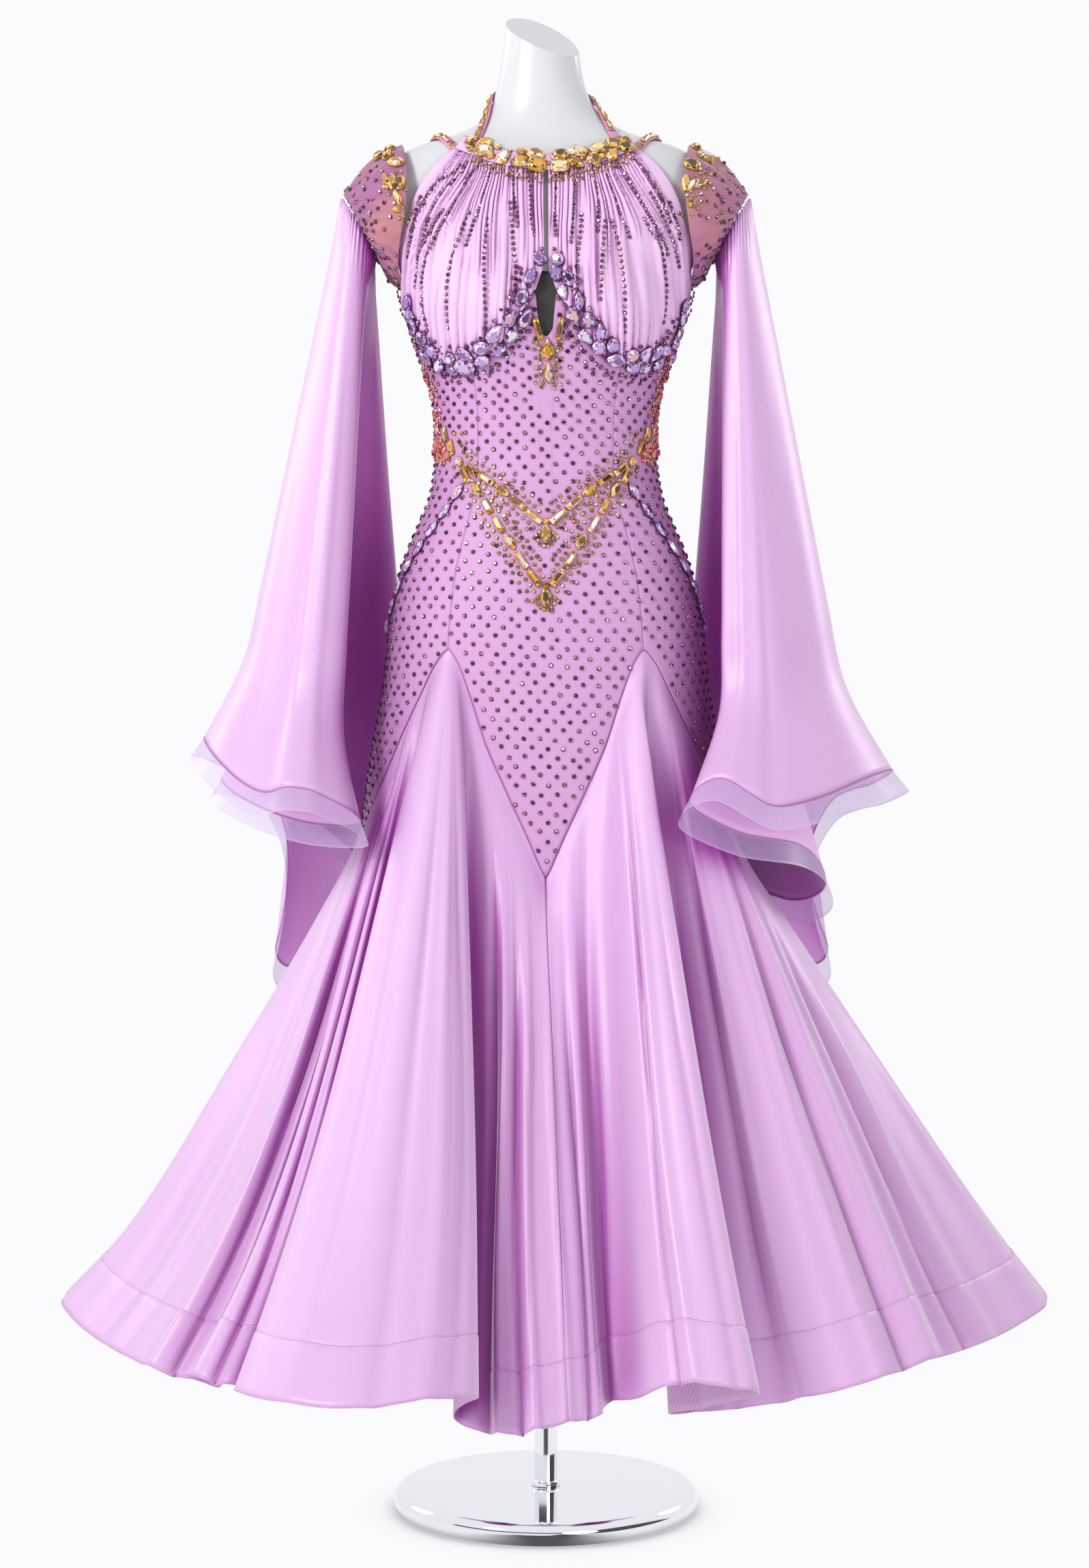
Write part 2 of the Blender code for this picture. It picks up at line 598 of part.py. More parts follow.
def coons(top, bottom, inner, outer):
    """A patch of (angle, height) pairs between four edges that meet at their corners."""
    rows, cols = len(inner), len(top)
    u = np.linspace(0, 1, cols)[None, :, None]
    v = np.linspace(0, 1, rows)[:, None, None]
    ruled_v = top[None] * (1 - v) + bottom[None] * v
    ruled_u = inner[:, None] * (1 - u) + outer[:, None] * u
    corners = (
        top[0] * (1 - u) * (1 - v)
        + top[-1] * u * (1 - v)
        + bottom[0] * (1 - u) * v
        + bottom[-1] * u * v
    )
    return ruled_v + ruled_u - corners


def bust_patch(columns, rows):
    """Angles and heights of the right bust cup, from the slit out to the side and from top to bottom."""
    slit_top = EdgePoint(SLOT_HALF, NECKLINE[0].z)
    neckline = [slit_top] + NECKLINE[1:]
    slit = [slit_top, EdgePoint(SLOT_HALF, SLOT_BOTTOM), UNDERBUST[0]]
    top = edge_in_angles(neckline, columns)
    inner = edge_in_angles(slit, rows)
    bottom = edge_in_angles(UNDERBUST, columns)
    side_angle = 88.0
    bottom[-1] = (side_angle, UNDERBUST_SIDE_Z)
    last = columns // 6
    bottom[-last:, 0] = np.linspace(bottom[-last - 1, 0], side_angle, last + 1)[1:]
    bottom[-last:, 1] = np.linspace(bottom[-last - 1, 1], UNDERBUST_SIDE_Z, last + 1)[1:]
    outer = edge_in_angles(CUP_EDGE, rows)
    reach = rows * 2 // 3
    outer[reach:, 0] = np.linspace(outer[reach - 1, 0], side_angle, rows - reach + 1)[1:]
    outer[: reach + 1] = edge_in_angles(CUP_EDGE, reach + 1)
    low = np.linspace(0, 1, rows - reach)
    outer[reach:, 0] = outer[reach, 0] + (side_angle - outer[reach, 0]) * low
    outer[reach:, 1] = outer[reach, 1] + (UNDERBUST_SIDE_Z - outer[reach, 1]) * low
    bottom[:, 1] = top_edge(bottom[:, 0]) + 2 * TURNED_SEAM
    return coons(top, bottom, inner, outer)


def bust_cups():
    """Two gathered cups either side of the slit; the gathers are in their outer faces only."""
    columns, rows = 2 * CUP_PLEATS + 1, 8
    patch = bust_patch(columns, rows)
    v = np.linspace(0, 1, rows)[:, None]
    wave = (np.arange(columns) % 2) * np.clip(np.linspace(0, 4, columns), 0.3, 1)
    relief = PLEAT_HEIGHT * wave * (0.75 + 0.25 * np.cos(2 * math.pi * (v - 0.1)))
    for name, side in (("bust_right", 1.0), ("bust_left", -1.0)):
        middle = on_section(FITTED_TABLE, side * patch[..., 0], patch[..., 1])
        normal = normals_of(middle, False)
        if np.sum(normal * from_axis(middle)) < 0:
            normal = -normal
        cloth(name, middle + normal * CUP_EASE, STRETCH, relief=relief, outward=from_axis)


def hem_ring(samples):
    """The hem's closed curve, the seam angle of each sample, and the plain flared ring inside its folds."""
    plan = np.array([(f.x, f.y, f.z) for f in HEM_FOLDS])
    hem = round_curve(plan, samples)
    rows = np.arange(len(HEM_FOLDS) + 1)
    angles = [f.angle for f in HEM_FOLDS] + [HEM_TURN]
    at = np.arange(len(hem)) / samples
    angle = monotone(rows, angles, at)
    spread = FOLD_SPREAD * samples
    reach = int(3 * spread)
    offsets = np.arange(-reach, reach + 1)
    weight = np.exp(-0.5 * (offsets / spread) ** 2)
    weight /= weight.sum()
    plain = sum(w * np.roll(hem, -k, axis=0) for w, k in zip(weight, offsets))
    plain[:, :2] *= 1.06
    return hem, angle, plain


def eased(grid, share):
    """A round grid with its turns softened, the sharpest most, and the first row left as it is."""
    reach = np.clip(np.asarray(share) * 8, 0, 1)[:, None, None]
    for _ in range(2):
        before, after = grid - np.roll(grid, 1, axis=1), np.roll(grid, -1, axis=1) - grid
        sizes = np.linalg.norm(before, axis=-1) * np.linalg.norm(after, axis=-1)
        straight = np.sum(before * after, axis=-1) / np.maximum(sizes, 1e-12)
        soften = 0.20 + 0.35 * np.clip(0.6 - straight, 0, 1)[..., None]
        grid = grid + (after - before) / 2 * soften * reach
    return grid


def skirt_surface(samples, rows):
    """The godets' middle surface: rows down from the seam to the hem, columns all the way round."""
    hem, angle, plain = hem_ring(samples)
    seam_z = seam_height(angle) - seam_gap(seam_height, angle, TURNED_SEAM)
    seam = on_section(FITTED_TABLE, angle, seam_z)
    down = np.linspace(0, 1, rows) ** 0.92
    behind = np.clip(plain[:, 1] / 0.3, 0, 1)
    even = (FLARE_LINEAR + FLARE_MORE * plain[:, 0] / 0.5 - BACK_FALL * behind)[None, :, None]
    late = (down**FLARE_POWER)[:, None, None]
    flare = even * down[:, None, None] + (1 - even) * late
    folding = (down**FOLD_POWER)[:, None, None]
    grid = seam + (plain - seam) * flare + (hem - plain) * folding
    grid[..., 2] = seam[..., 2] + (hem[..., 2] - seam[..., 2]) * down[:, None]
    return eased(grid, down), angle


def skirt():
    """Four godets, each a stretch of the skirt's surface between two points of the fitted body."""
    grid, angle = skirt_surface(2, 10)
    normal = normals_of(grid, True)
    if np.sum(normal * from_axis(grid)) < 0:
        normal = -normal
    outer = grid + normal * CLOTH / 2
    inner = grid - normal * CLOTH / 2
    spans = [
        ("godet_front_left", -85, 0),
        ("godet_front_right", 0, 85),
        ("godet_back_right", 85, 180),
        ("godet_back_left", 180, HEM_TURN),
    ]
    outer = np.concatenate([outer, outer[:, :1]], axis=1)
    inner = np.concatenate([inner, inner[:, :1]], axis=1)
    angle = np.append(angle, HEM_TURN)
    for name, start, end in spans:
        first = int(np.argmin(np.abs(angle - start)))
        last = int(np.argmin(np.abs(angle - end)))
        piece = [part_of(side, first, last) for side in (outer, inner)]
        wall(name, piece[0], piece[1], SATIN)


def part_of(grid, first, last):
    """Columns first to last of a grid, with the two edge columns drawn in by half the seam gap."""
    piece = grid[:, first : last + 1].copy()
    for edge, beside in ((0, 1), (-1, -2)):
        inward = piece[:, beside] - piece[:, edge]
        size = np.linalg.norm(inward, axis=-1, keepdims=True)
        piece[:, edge] += inward / size * SEAM / 2
    return piece


def bell_turns(table, samples):
    """The turn on the bell's seam of each column of a sleeve."""
    turns = [row.turn for row in table] + [360]
    return monotone(np.arange(len(turns)), turns, np.arange(len(table) * samples) / samples)


def bell_seam(turn):
    """Points of the seam between the cap and the bell."""
    turn = np.radians(turn)
    shape = np.stack([np.cos(turn), -np.sin(turn), np.cos(turn)], axis=-1)
    return np.array(BELL_MIDDLE) + np.array(BELL_REACH) * shape


def bell_surface(table, samples, down):
    """A bell's middle surface at these shares of its length. Past 1 is the braid below the hem."""
    top = bell_seam(bell_turns(table, samples))
    hem = round_curve([(r.x, r.y, r.z) for r in table], samples)
    flare = SLEEVE_FLARE * np.clip(1 - hem[:, 1:2] / BACK_CALM, 0.1, 1)
    kick = (hem - hem.mean(axis=0)) * flare * np.array([1.0, 1.0, 0.0])
    down = np.asarray(down)[:, None, None]
    kicked = np.clip((down - KICK_START) / (1 - KICK_START), 0, None) ** 2
    return eased(top + (hem - kick - top) * down + kick * kicked, down[:, 0, 0])


def cap_surface(turns, share):
    """The sheer cap's middle surface at these shares of the way from the armhole to the bell's seam."""
    dense = round_curve([(r.x, r.y, r.z) for r in ARMHOLE], 30)
    places = np.round(np.asarray(turns) % 360 / 360 * len(dense)).astype(int) % len(dense)
    armhole, seam = dense[places], bell_seam(turns)
    share = np.asarray(share)[:, None, None]
    away = armhole + seam - armhole.mean(axis=0) - seam.mean(axis=0)
    away /= np.linalg.norm(away, axis=-1, keepdims=True)
    return armhole + (seam - armhole) * share + away * CAP_BULGE * np.sin(math.pi * share)


def sleeves():
    """The caps, the bells open at both ends, and the band of stiff net braid below each bell's satin."""
    cap_rows, bell_rows = 4, 8
    cap_share = np.linspace(0, 1 - 1.6 * TURNED_SEAM / 0.045, cap_rows)
    for name, table, side in (("right", SLEEVE_RIGHT, 1.0), ("left", SLEEVE_LEFT, -1.0)):
        cap = cap_surface(bell_turns(table, 2), cap_share)
        down = np.concatenate(
            [np.linspace(0, 1, bell_rows), 1 + np.array([2 * SEAM, BRAID_WIDTH]) / 0.65]
        )
        grid = np.concatenate([cap, bell_surface(table, 2, down)]) * np.array([side, 1.0, 1.0])
        normal = normals_of(grid, True)
        if np.sum(normal * (grid - grid.mean(axis=1, keepdims=True))) < 0:
            normal = -normal
        hem = cap_rows + bell_rows
        pieces = [
            (f"sleeve_cap_{name}", slice(0, cap_rows), CLOTH, SHEER),
            (f"sleeve_{name}", slice(cap_rows, hem), CLOTH, SATIN),
            (f"sleeve_braid_{name}", slice(hem, None), BRAID, BRAIDED),
        ]
        for piece, rows, thick, paint in pieces:
            half = normal[rows] * thick / 2
            wall(piece, grid[rows] + half, grid[rows] - half, paint, around=True)


def cap_trims():
    """Gold stones along the open edge of each cap, over the shoulder and down its front."""
    stones = 7
    for name, side in (("right", 1.0), ("left", -1.0)):
        turns = np.linspace(0, 100, 2 * stones + 1)
        grid = cap_surface(turns, [0.04, 0.17, 0.30]) * np.array([side, 1.0, 1.0])
        normal = normals_of(grid, False)
        if np.sum(normal * (grid - np.array([side * 0.17, 0.0, 1.33]))) < 0:
            normal = -normal
        inner = grid + normal * 1.6 * TRIM_LIFT
        raised = (np.arange(2 * stones + 1) % 2)[None, :] * np.array([0, 1, 0])[:, None]
        outer = inner + normal * (TRIM_BASE + 0.004 * raised[..., None])
        wall(f"cap_stones_{name}", outer, inner, GOLD)


# The two pointed belts of stones: height at the middle, and where each ends at the side.
Belt = namedtuple("Belt", "name tip_z end_x end_z stones lift")
BELTS = [
    Belt("upper", 1.0115, 0.1010, 1.0885, 13, TRIM_LIFT),
    Belt("lower", 0.942, 0.0610, 1.0325, 11, 0.0014),
]


def stone_strip(name, line, normal, width, stones, paint, height, lanes=1):
    """A backing strip along a line with a row of raised stones, each a low pyramid in its outer face."""
    columns, rows = 2 * stones + 1, 2 * lanes + 1
    line, normal = np.asarray(line), np.asarray(normal)
    along = np.concatenate([[0], np.cumsum(np.linalg.norm(np.diff(line, axis=0), axis=1))])
    at = np.linspace(0, along[-1], columns)
    line = np.stack([np.interp(at, along, line[:, k]) for k in range(3)], axis=-1)
    normal = np.stack([np.interp(at, along, normal[:, k]) for k in range(3)], axis=-1)
    normal /= np.linalg.norm(normal, axis=-1, keepdims=True)
    across = np.cross(np.gradient(line, axis=0), normal)
    across /= np.linalg.norm(across, axis=-1, keepdims=True)
    place = np.linspace(-0.5, 0.5, rows)[:, None, None] * width
    inner = line + across * place
    raised = (np.arange(columns) % 2)[None, :] * (np.arange(rows) % 2)[:, None]
    outer = inner + normal * (TRIM_BASE + height * raised[..., None])
    return wall(name, outer, inner, paint)


def fitted_line(angles, heights, lift):
    """Points of the fitted cloth at these angles and heights, moved out, and the outward normals there."""
    angles, heights = np.asarray(angles, float), np.asarray(heights, float)
    middle = on_section(FITTED_TABLE, angles, heights)
    across = on_section(FITTED_TABLE, angles + 0.5, heights) - middle
    down = on_section(FITTED_TABLE, angles, heights - 0.001) - middle
    normal = np.cross(across, down)
    normal /= np.linalg.norm(normal, axis=-1, keepdims=True)
    if np.sum(normal * from_axis(middle)) < 0:
        normal = -normal
    return middle + normal * lift, normal


def sampled(points, count):
    """x and z of a short list of edge points, read evenly along a smooth curve through them."""
    x, z = np.array([p.x for p in points]), np.array([p.z for p in points])
    along = np.concatenate([[0], np.cumsum(np.hypot(np.diff(x), np.diff(z)))])
    at = np.linspace(0, along[-1], count)
    return monotone(along, x, at), monotone(along, z, at)


def jewel_trims():
    """Trims of large stones: under the bust, the two pointed belts, the hip chains and the pendant."""
    over_gathers = TRIM_LIFT + PLEAT_HEIGHT + CUP_EASE
    for name, side in (("right", 1.0), ("left", -1.0)):
        x, z = sampled(UNDERBUST[1:], 40)
        angle = np.append(angle_at(x, z), 88.0)
        height = np.append(z, UNDERBUST_SIDE_Z)
        line, normal = fitted_line(side * angle, height, over_gathers)
        stone_strip(f"underbust_stones_{name}", line, normal, 0.013, 12, VIOLET, 0.0035)
    for belt in BELTS:
        reach = np.linspace(-belt.end_x, belt.end_x, 41)
        height = belt.tip_z + (belt.end_z - belt.tip_z) * np.abs(reach) / belt.end_x
        line, normal = fitted_line(angle_at(reach, height), height, belt.lift)
        stone_strip(f"belt_stones_{belt.name}", line, normal, 0.008, belt.stones, GOLD, 0.003)
    for name, side in (("right", 1.0), ("left", -1.0)):
        angle = np.linspace(49, 88, 20)
        height = 1.038 - (angle - 49) / 39 * 0.132
        line, normal = fitted_line(side * angle, height, CLOSE_LIFT)
        stone_strip(f"hip_stones_{name}", line, normal, 0.007, 9, VIOLET, 0.003)
    line, normal = fitted_line(np.zeros(8), np.linspace(1.190, 1.142, 8), TRIM_LIFT)
    stone_strip("pendant_stones", line, normal, 0.009, 2, GOLD, 0.004)


def surface_tree(made):
    made.data.calc_loop_triangles()
    points = [v.co.copy() for v in made.data.vertices]
    faces = [tuple(t.vertices) for t in made.data.loop_triangles]
    return BVHTree.FromPolygons(points, faces)


def on_form(tree, points, lift, count):
    """A smooth line near the given points, laid on the form and lifted off it, with its normals."""
    points = np.asarray(points, float)
    along = np.concatenate([[0], np.cumsum(np.linalg.norm(np.diff(points, axis=0), axis=1))])
    at = np.linspace(0, along[-1], count)
    line = np.stack([monotone(along, points[:, k], at) for k in range(3)], axis=-1)
    laid, normals = [], []
    for point in line:
        place, normal, _, _ = tree.find_nearest(Vector(point))
        laid.append(place + normal * lift)
        normals.append(normal)
    laid, normals = np.array(laid), np.array(normals)
    for _ in range(3):
        normals[1:-1] = (normals[:-2] + normals[1:-1] * 2 + normals[2:]) / 4
    normals /= np.linalg.norm(normals, axis=-1, keepdims=True)
    return laid, normals


def ribbon(name, line, normal, width, paint, thickness=CLOTH):
    """A flat strip of cloth along a line, its middle on the line."""
    across = np.cross(np.gradient(line, axis=0), normal)
    across /= np.linalg.norm(across, axis=-1, keepdims=True)
    place = np.array([-0.5, 0.5])[:, None, None] * width
    inner = line + across * place - normal * thickness / 2
    return wall(name, inner + normal * thickness, inner, paint)


STRAP_LIFT = 0.0024  # from the form's skin to the middle of a strap
NECKBAND_WIDTH = 0.021
STRAP_WIDTH = 0.009
NECK_STRAP = [
    (-0.0700, -0.050, 1.4010),
    (-0.0600, -0.022, 1.432),
    (-0.0560, 0.000, 1.450),
    (-0.0490, 0.032, 1.462),
    (-0.0280, 0.056, 1.468),
    (0.0, 0.064, 1.470),
]
SHOULDER_STRAP = [
    (0.0870, -0.053, 1.386),
    (0.1030, -0.028, 1.402),
    (0.1150, 0.002, 1.411),
    (0.1130, 0.034, 1.406),
    (0.1040, 0.066, 1.380),
    (0.0900, 0.086, 1.330),
    (0.0790, 0.093, 1.262),
]


def neckband(tree):
    """The halter's band with two rows of large stones, laid over the tops of the cups."""
    x, z = sampled([EdgePoint(p.x * 1.08, p.z) for p in NECKLINE], 24)
    angle = angle_at(np.concatenate([-x[::-1], x[1:]]), np.concatenate([z[::-1], z[1:]]))
    height = np.concatenate([z[::-1], z[1:]]) - 0.004
    line, normal = fitted_line(angle, height, GATHERS_LIFT)
    stone_strip("neckband", line, normal, NECKBAND_WIDTH, 11, GOLD, 0.004, lanes=2)
    lift = STRAP_LIFT
    half = [Vector(p) for p in NECK_STRAP]
    whole = half + [Vector((-p.x, p.y, p.z)) for p in half[-2::-1]]
    line, normal = on_form(tree, whole, lift, 21)
    ribbon("neck_strap", line, normal, STRAP_WIDTH, STRETCH)
    for name, side in (("right", 1.0), ("left", -1.0)):
        path = [(side * x, y, z) for x, y, z in SHOULDER_STRAP]
        line, normal = on_form(tree, path, lift, 16)
        ribbon(f"shoulder_strap_{name}", line, normal, STRAP_WIDTH, STRETCH)


def main():
    clear_scene()
    stand()
    form = dress_form()
    fitted_body()
    bust_cups()
    neckband(surface_tree(form))
    sleeves()
    skirt()
    jewel_trims()
    cap_trims()


main()
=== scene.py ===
"""Looks of a ballroom dance dress on a limbless form: satin godets, gathered cups, bell sleeves, stones.

The first sections repeat the named sizes, tables and surfaces that the solids are made from, so that each piece
of cloth is a finer sheet on the form of its solid. -Y is the front, and left means the viewer's left, -X.
"""

import math
from collections import namedtuple

import bmesh
import bpy
import numpy as np
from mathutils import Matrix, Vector
from mathutils.bvhtree import BVHTree

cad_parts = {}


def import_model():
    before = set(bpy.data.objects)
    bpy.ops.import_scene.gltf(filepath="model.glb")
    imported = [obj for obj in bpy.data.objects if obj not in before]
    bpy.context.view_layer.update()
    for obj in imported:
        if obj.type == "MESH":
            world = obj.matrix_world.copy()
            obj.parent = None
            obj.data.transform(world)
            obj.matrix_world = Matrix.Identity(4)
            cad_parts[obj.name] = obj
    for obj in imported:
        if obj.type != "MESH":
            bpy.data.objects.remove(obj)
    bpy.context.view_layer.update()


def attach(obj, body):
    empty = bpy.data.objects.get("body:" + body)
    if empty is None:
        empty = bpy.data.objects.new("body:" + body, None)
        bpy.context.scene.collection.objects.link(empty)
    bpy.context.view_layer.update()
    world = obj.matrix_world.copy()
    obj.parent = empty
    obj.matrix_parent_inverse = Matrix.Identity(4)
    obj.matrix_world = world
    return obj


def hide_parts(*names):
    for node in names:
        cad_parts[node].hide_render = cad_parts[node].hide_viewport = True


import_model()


# Sizes and tables of the dress's cut and of its folds.
CLOTH = 0.0012  # thickness of every cloth wall
SEAM = 0.0004  # gap between two pieces of one surface where they are sewn
TURNED_SEAM = 0.0013  # the same where the two pieces leave the seam at an angle
EASE = 0.0040  # from the form's skin to the middle of the fitted cloth
CUP_EASE = 0.0018  # the gathered cups stand out this much more
TRIM_LIFT = 0.0027  # from the fitted cloth's middle to the underside of a stone trim
GATHERS_LIFT = 0.0058  # the same over the gathers of the cups
FORM_BOTTOM = 0.80

# The form from its flat bottom to the neck: half width, depth in front and behind, and squareness.
Section = namedtuple("Section", "z half_width front back square")
FORM_SECTIONS = [
    Section(0.800, 0.1560, 0.110, 0.104, 2.2),
    Section(0.840, 0.1575, 0.111, 0.107, 2.2),
    Section(0.880, 0.1570, 0.111, 0.108, 2.2),
    Section(0.920, 0.1545, 0.108, 0.106, 2.2),
    Section(0.960, 0.1470, 0.102, 0.101, 2.2),
    Section(0.990, 0.1370, 0.096, 0.094, 2.2),
    Section(1.020, 0.1240, 0.089, 0.085, 2.2),
    Section(1.050, 0.1130, 0.082, 0.078, 2.2),
    Section(1.085, 0.1085, 0.079, 0.074, 2.2),
    Section(1.120, 0.1090, 0.082, 0.076, 2.2),
    Section(1.150, 0.1130, 0.088, 0.080, 2.2),
    Section(1.180, 0.1230, 0.094, 0.084, 2.3),
    Section(1.210, 0.1330, 0.101, 0.088, 2.3),
    Section(1.240, 0.1390, 0.105, 0.091, 2.3),
    Section(1.265, 0.1440, 0.103, 0.092, 2.3),
    Section(1.290, 0.1560, 0.097, 0.090, 2.4),
    Section(1.315, 0.1680, 0.088, 0.086, 2.5),
    Section(1.342, 0.1740, 0.077, 0.081, 2.5),
    Section(1.366, 0.1700, 0.067, 0.076, 2.5),
    Section(1.387, 0.1560, 0.058, 0.071, 2.5),
    Section(1.401, 0.1300, 0.052, 0.068, 2.4),
    Section(1.412, 0.0930, 0.048, 0.065, 2.2),
    Section(1.426, 0.0660, 0.045, 0.062, 2.1),
    Section(1.447, 0.0500, 0.042, 0.058, 2.0),
    Section(1.485, 0.0405, 0.037, 0.052, 2.0),
    Section(1.560, 0.0330, 0.031, 0.046, 2.0),
]
# Below the hip the fitted panels run to points that the godets pull outwards.
YOKE_SECTIONS = [
    Section(0.620, 0.1980, 0.150, 0.150, 2.0),
    Section(0.690, 0.1900, 0.140, 0.140, 2.0),
    Section(0.750, 0.1830, 0.130, 0.130, 2.1),
    Section(0.800, 0.1750, 0.123, 0.121, 2.2),
    Section(0.850, 0.1660, 0.116, 0.113, 2.2),
]
YOKE_TOP = 0.90
Mound = namedtuple("Mound", "x z reach_x reach_z forward")
NECK_LEAN = -0.0050  # the neck stands this far to the left of the middle
BUST_CUP = Mound(0.066, 1.232, 0.050, 0.046, 0.016)

# The neck is cut off on a plane that falls to the right and to the front.
NECK_CUT_POINT = Vector((-0.004, 0.01, 1.517))
NECK_CUT_NORMAL = Vector((0.33, -0.42, 0.85))

# The seam between the fitted body and the godets: angle from the front, and height.
SeamPoint = namedtuple("SeamPoint", "angle z")
GODET_SEAM = [
    SeamPoint(0, 0.662),
    SeamPoint(8, 0.722),
    SeamPoint(16, 0.782),
    SeamPoint(25, 0.845),
    SeamPoint(31, 0.878),
    SeamPoint(35, 0.888),
    SeamPoint(40, 0.876),
    SeamPoint(48, 0.838),
    SeamPoint(60, 0.775),
    SeamPoint(73, 0.722),
    SeamPoint(85, 0.695),
    SeamPoint(97, 0.722),
    SeamPoint(111, 0.775),
    SeamPoint(126, 0.836),
    SeamPoint(136, 0.876),
    SeamPoint(143, 0.888),
    SeamPoint(150, 0.862),
    SeamPoint(160, 0.798),
    SeamPoint(170, 0.734),
    SeamPoint(180, 0.670),
]
# The body's panels: the angles of their columns, from seam to seam. A godet's top is at each seam.
FRONT_COLUMNS = [-35, -32, -28, -23, -17, -11, -5.5, 0, 5.5, 11, 17, 23, 28, 32, 35]
SIDE_COLUMNS = [35, 39, 44, 50, 56, 61, 66, 73, 80, 87, 96, 106, 117, 128, 136, 140, 143]
BACK_COLUMNS = [143, 146, 150, 157, 168, 180]

# Where the fitted body meets the bust cups, and the top edge of the back: half of it.
EdgePoint = namedtuple("EdgePoint", "x z")
UNDERBUST = [
    EdgePoint(0.0105, 1.2430),
    EdgePoint(0.0190, 1.2310),
    EdgePoint(0.0300, 1.2150),
    EdgePoint(0.0400, 1.2000),
    EdgePoint(0.0520, 1.1860),
    EdgePoint(0.0680, 1.1760),
    EdgePoint(0.0860, 1.1730),
    EdgePoint(0.1040, 1.1790),
    EdgePoint(0.1180, 1.1920),
    EdgePoint(0.1300, 1.2150),
]
UNDERBUST_SIDE_Z = 1.243
BACK_TOP_Z = 1.268
KEYHOLE_BOTTOM = 1.197
KEYHOLE_SIDE = EdgePoint(0.0085, 1.2120)
SLOT_HALF = 0.0026  # half of the slit above the keyhole
SLOT_BOTTOM = 1.272
NECKLINE = [EdgePoint(0.0, 1.3760), EdgePoint(0.036, 1.3810), EdgePoint(0.0740, 1.3980)]
CUP_EDGE = [
    EdgePoint(0.0740, 1.3980),
    EdgePoint(0.0900, 1.3900),
    EdgePoint(0.1080, 1.3760),
    EdgePoint(0.1230, 1.3560),
    EdgePoint(0.1330, 1.3340),
    EdgePoint(0.1385, 1.3100),
]

# A godet's folds at the hem: where each leaves the seam, and where it is in plan and in height.
Fold = namedtuple("Fold", "name angle x y z")
HEM_FOLDS = [
    Fold("side_left", -85, -0.502, 0.040, 0.216),
    Fold("left_flat", -74, -0.468, -0.095, 0.207),
    Fold("left_roll", -62, -0.398, -0.235, 0.206),
    Fold("left_tip", -57, -0.360, -0.292, 0.204),
    Fold("left_valley", -53, -0.300, -0.268, 0.186),
    Fold("small_ridge_left", -50, -0.330, -0.336, 0.212),
    Fold("small_ridge_right", -47.5, -0.300, -0.366, 0.212),
    Fold("small_valley", -44, -0.238, -0.322, 0.186),
    Fold("panel_left_edge", -40, -0.284, -0.420, 0.218),
    Fold("panel_left", -37.5, -0.250, -0.478, 0.222),
    Fold("panel_middle", -35.5, -0.185, -0.514, 0.222),
    Fold("panel_right", -33.5, -0.116, -0.502, 0.226),
    Fold("panel_right_edge", -31, -0.050, -0.450, 0.220),
    Fold("front_valley", -24, -0.100, -0.352, 0.180),
    Fold("middle_left", -15, -0.050, -0.406, 0.174),
    Fold("middle_fold", -9, -0.020, -0.426, 0.180),
    Fold("middle_seam", 0, 0.018, -0.408, 0.184),
    Fold("middle_edge", 6, 0.053, -0.386, 0.187),
    Fold("crease_valley", 11, 0.050, -0.330, 0.186),
    Fold("right_rise", 17, 0.086, -0.364, 0.196),
    Fold("right_ridge_left", 22, 0.112, -0.426, 0.226),
    Fold("right_ridge", 27, 0.162, -0.452, 0.228),
    Fold("right_ridge_edge", 30.5, 0.210, -0.426, 0.216),
    Fold("right_valley", 37, 0.088, -0.318, 0.170),
    Fold("right_panel_start", 41, 0.182, -0.322, 0.178),
    Fold("right_panel", 46, 0.268, -0.340, 0.198),
    Fold("right_panel_wide", 51, 0.336, -0.304, 0.210),
    Fold("right_panel_edge", 56, 0.386, -0.246, 0.216),
    Fold("right_side_valley", 62, 0.352, -0.180, 0.186),
    Fold("right_side_fold", 68, 0.418, -0.158, 0.200),
    Fold("right_side_flat", 76, 0.482, -0.062, 0.204),
    Fold("side_right", 85, 0.530, 0.046, 0.214),
    Fold("back_right_turn", 93, 0.478, 0.150, 0.222),
    Fold("back_right_valley", 101, 0.392, 0.150, 0.190),
    Fold("back_right_ridge", 109, 0.442, 0.252, 0.216),
    Fold("back_right_panel", 119, 0.372, 0.350, 0.218),
    Fold("back_right_deep", 129, 0.272, 0.300, 0.184),
    Fold("back_right_inner", 136, 0.292, 0.408, 0.214),
    Fold("back_right_wide", 144, 0.210, 0.474, 0.224),
    Fold("back_right_edge", 152, 0.128, 0.468, 0.218),
    Fold("back_mid_valley", 161, 0.118, 0.372, 0.184),
    Fold("back_mid_right", 170, 0.068, 0.448, 0.208),
    Fold("back_seam", 180, -0.008, 0.470, 0.212),
    Fold("back_mid_left", 189, -0.078, 0.440, 0.206),
    Fold("back_left_hollow", 198, -0.112, 0.358, 0.182),
    Fold("back_left_edge", 206, -0.150, 0.462, 0.218),
    Fold("back_left_wide", 215, -0.232, 0.464, 0.222),
    Fold("back_left_inner", 223, -0.292, 0.384, 0.212),
    Fold("back_left_deep", 231, -0.262, 0.288, 0.184),
    Fold("back_left_panel", 241, -0.362, 0.330, 0.216),
    Fold("back_left_ridge", 251, -0.430, 0.240, 0.216),
    Fold("back_left_valley", 259, -0.392, 0.142, 0.190),
    Fold("back_left_turn", 267, -0.462, 0.142, 0.222),
]
HEM_TURN = 275  # the seam angle where the round of folds closes on its first
FLARE_LINEAR = 0.885  # share of the flare that grows evenly down the godet
FLARE_MORE = 0.10  # more of it on the right and less on the left, this much half a metre out
BACK_FALL = 0.30  # less of it behind
FLARE_POWER = 5.0  # the rest comes in near the hem
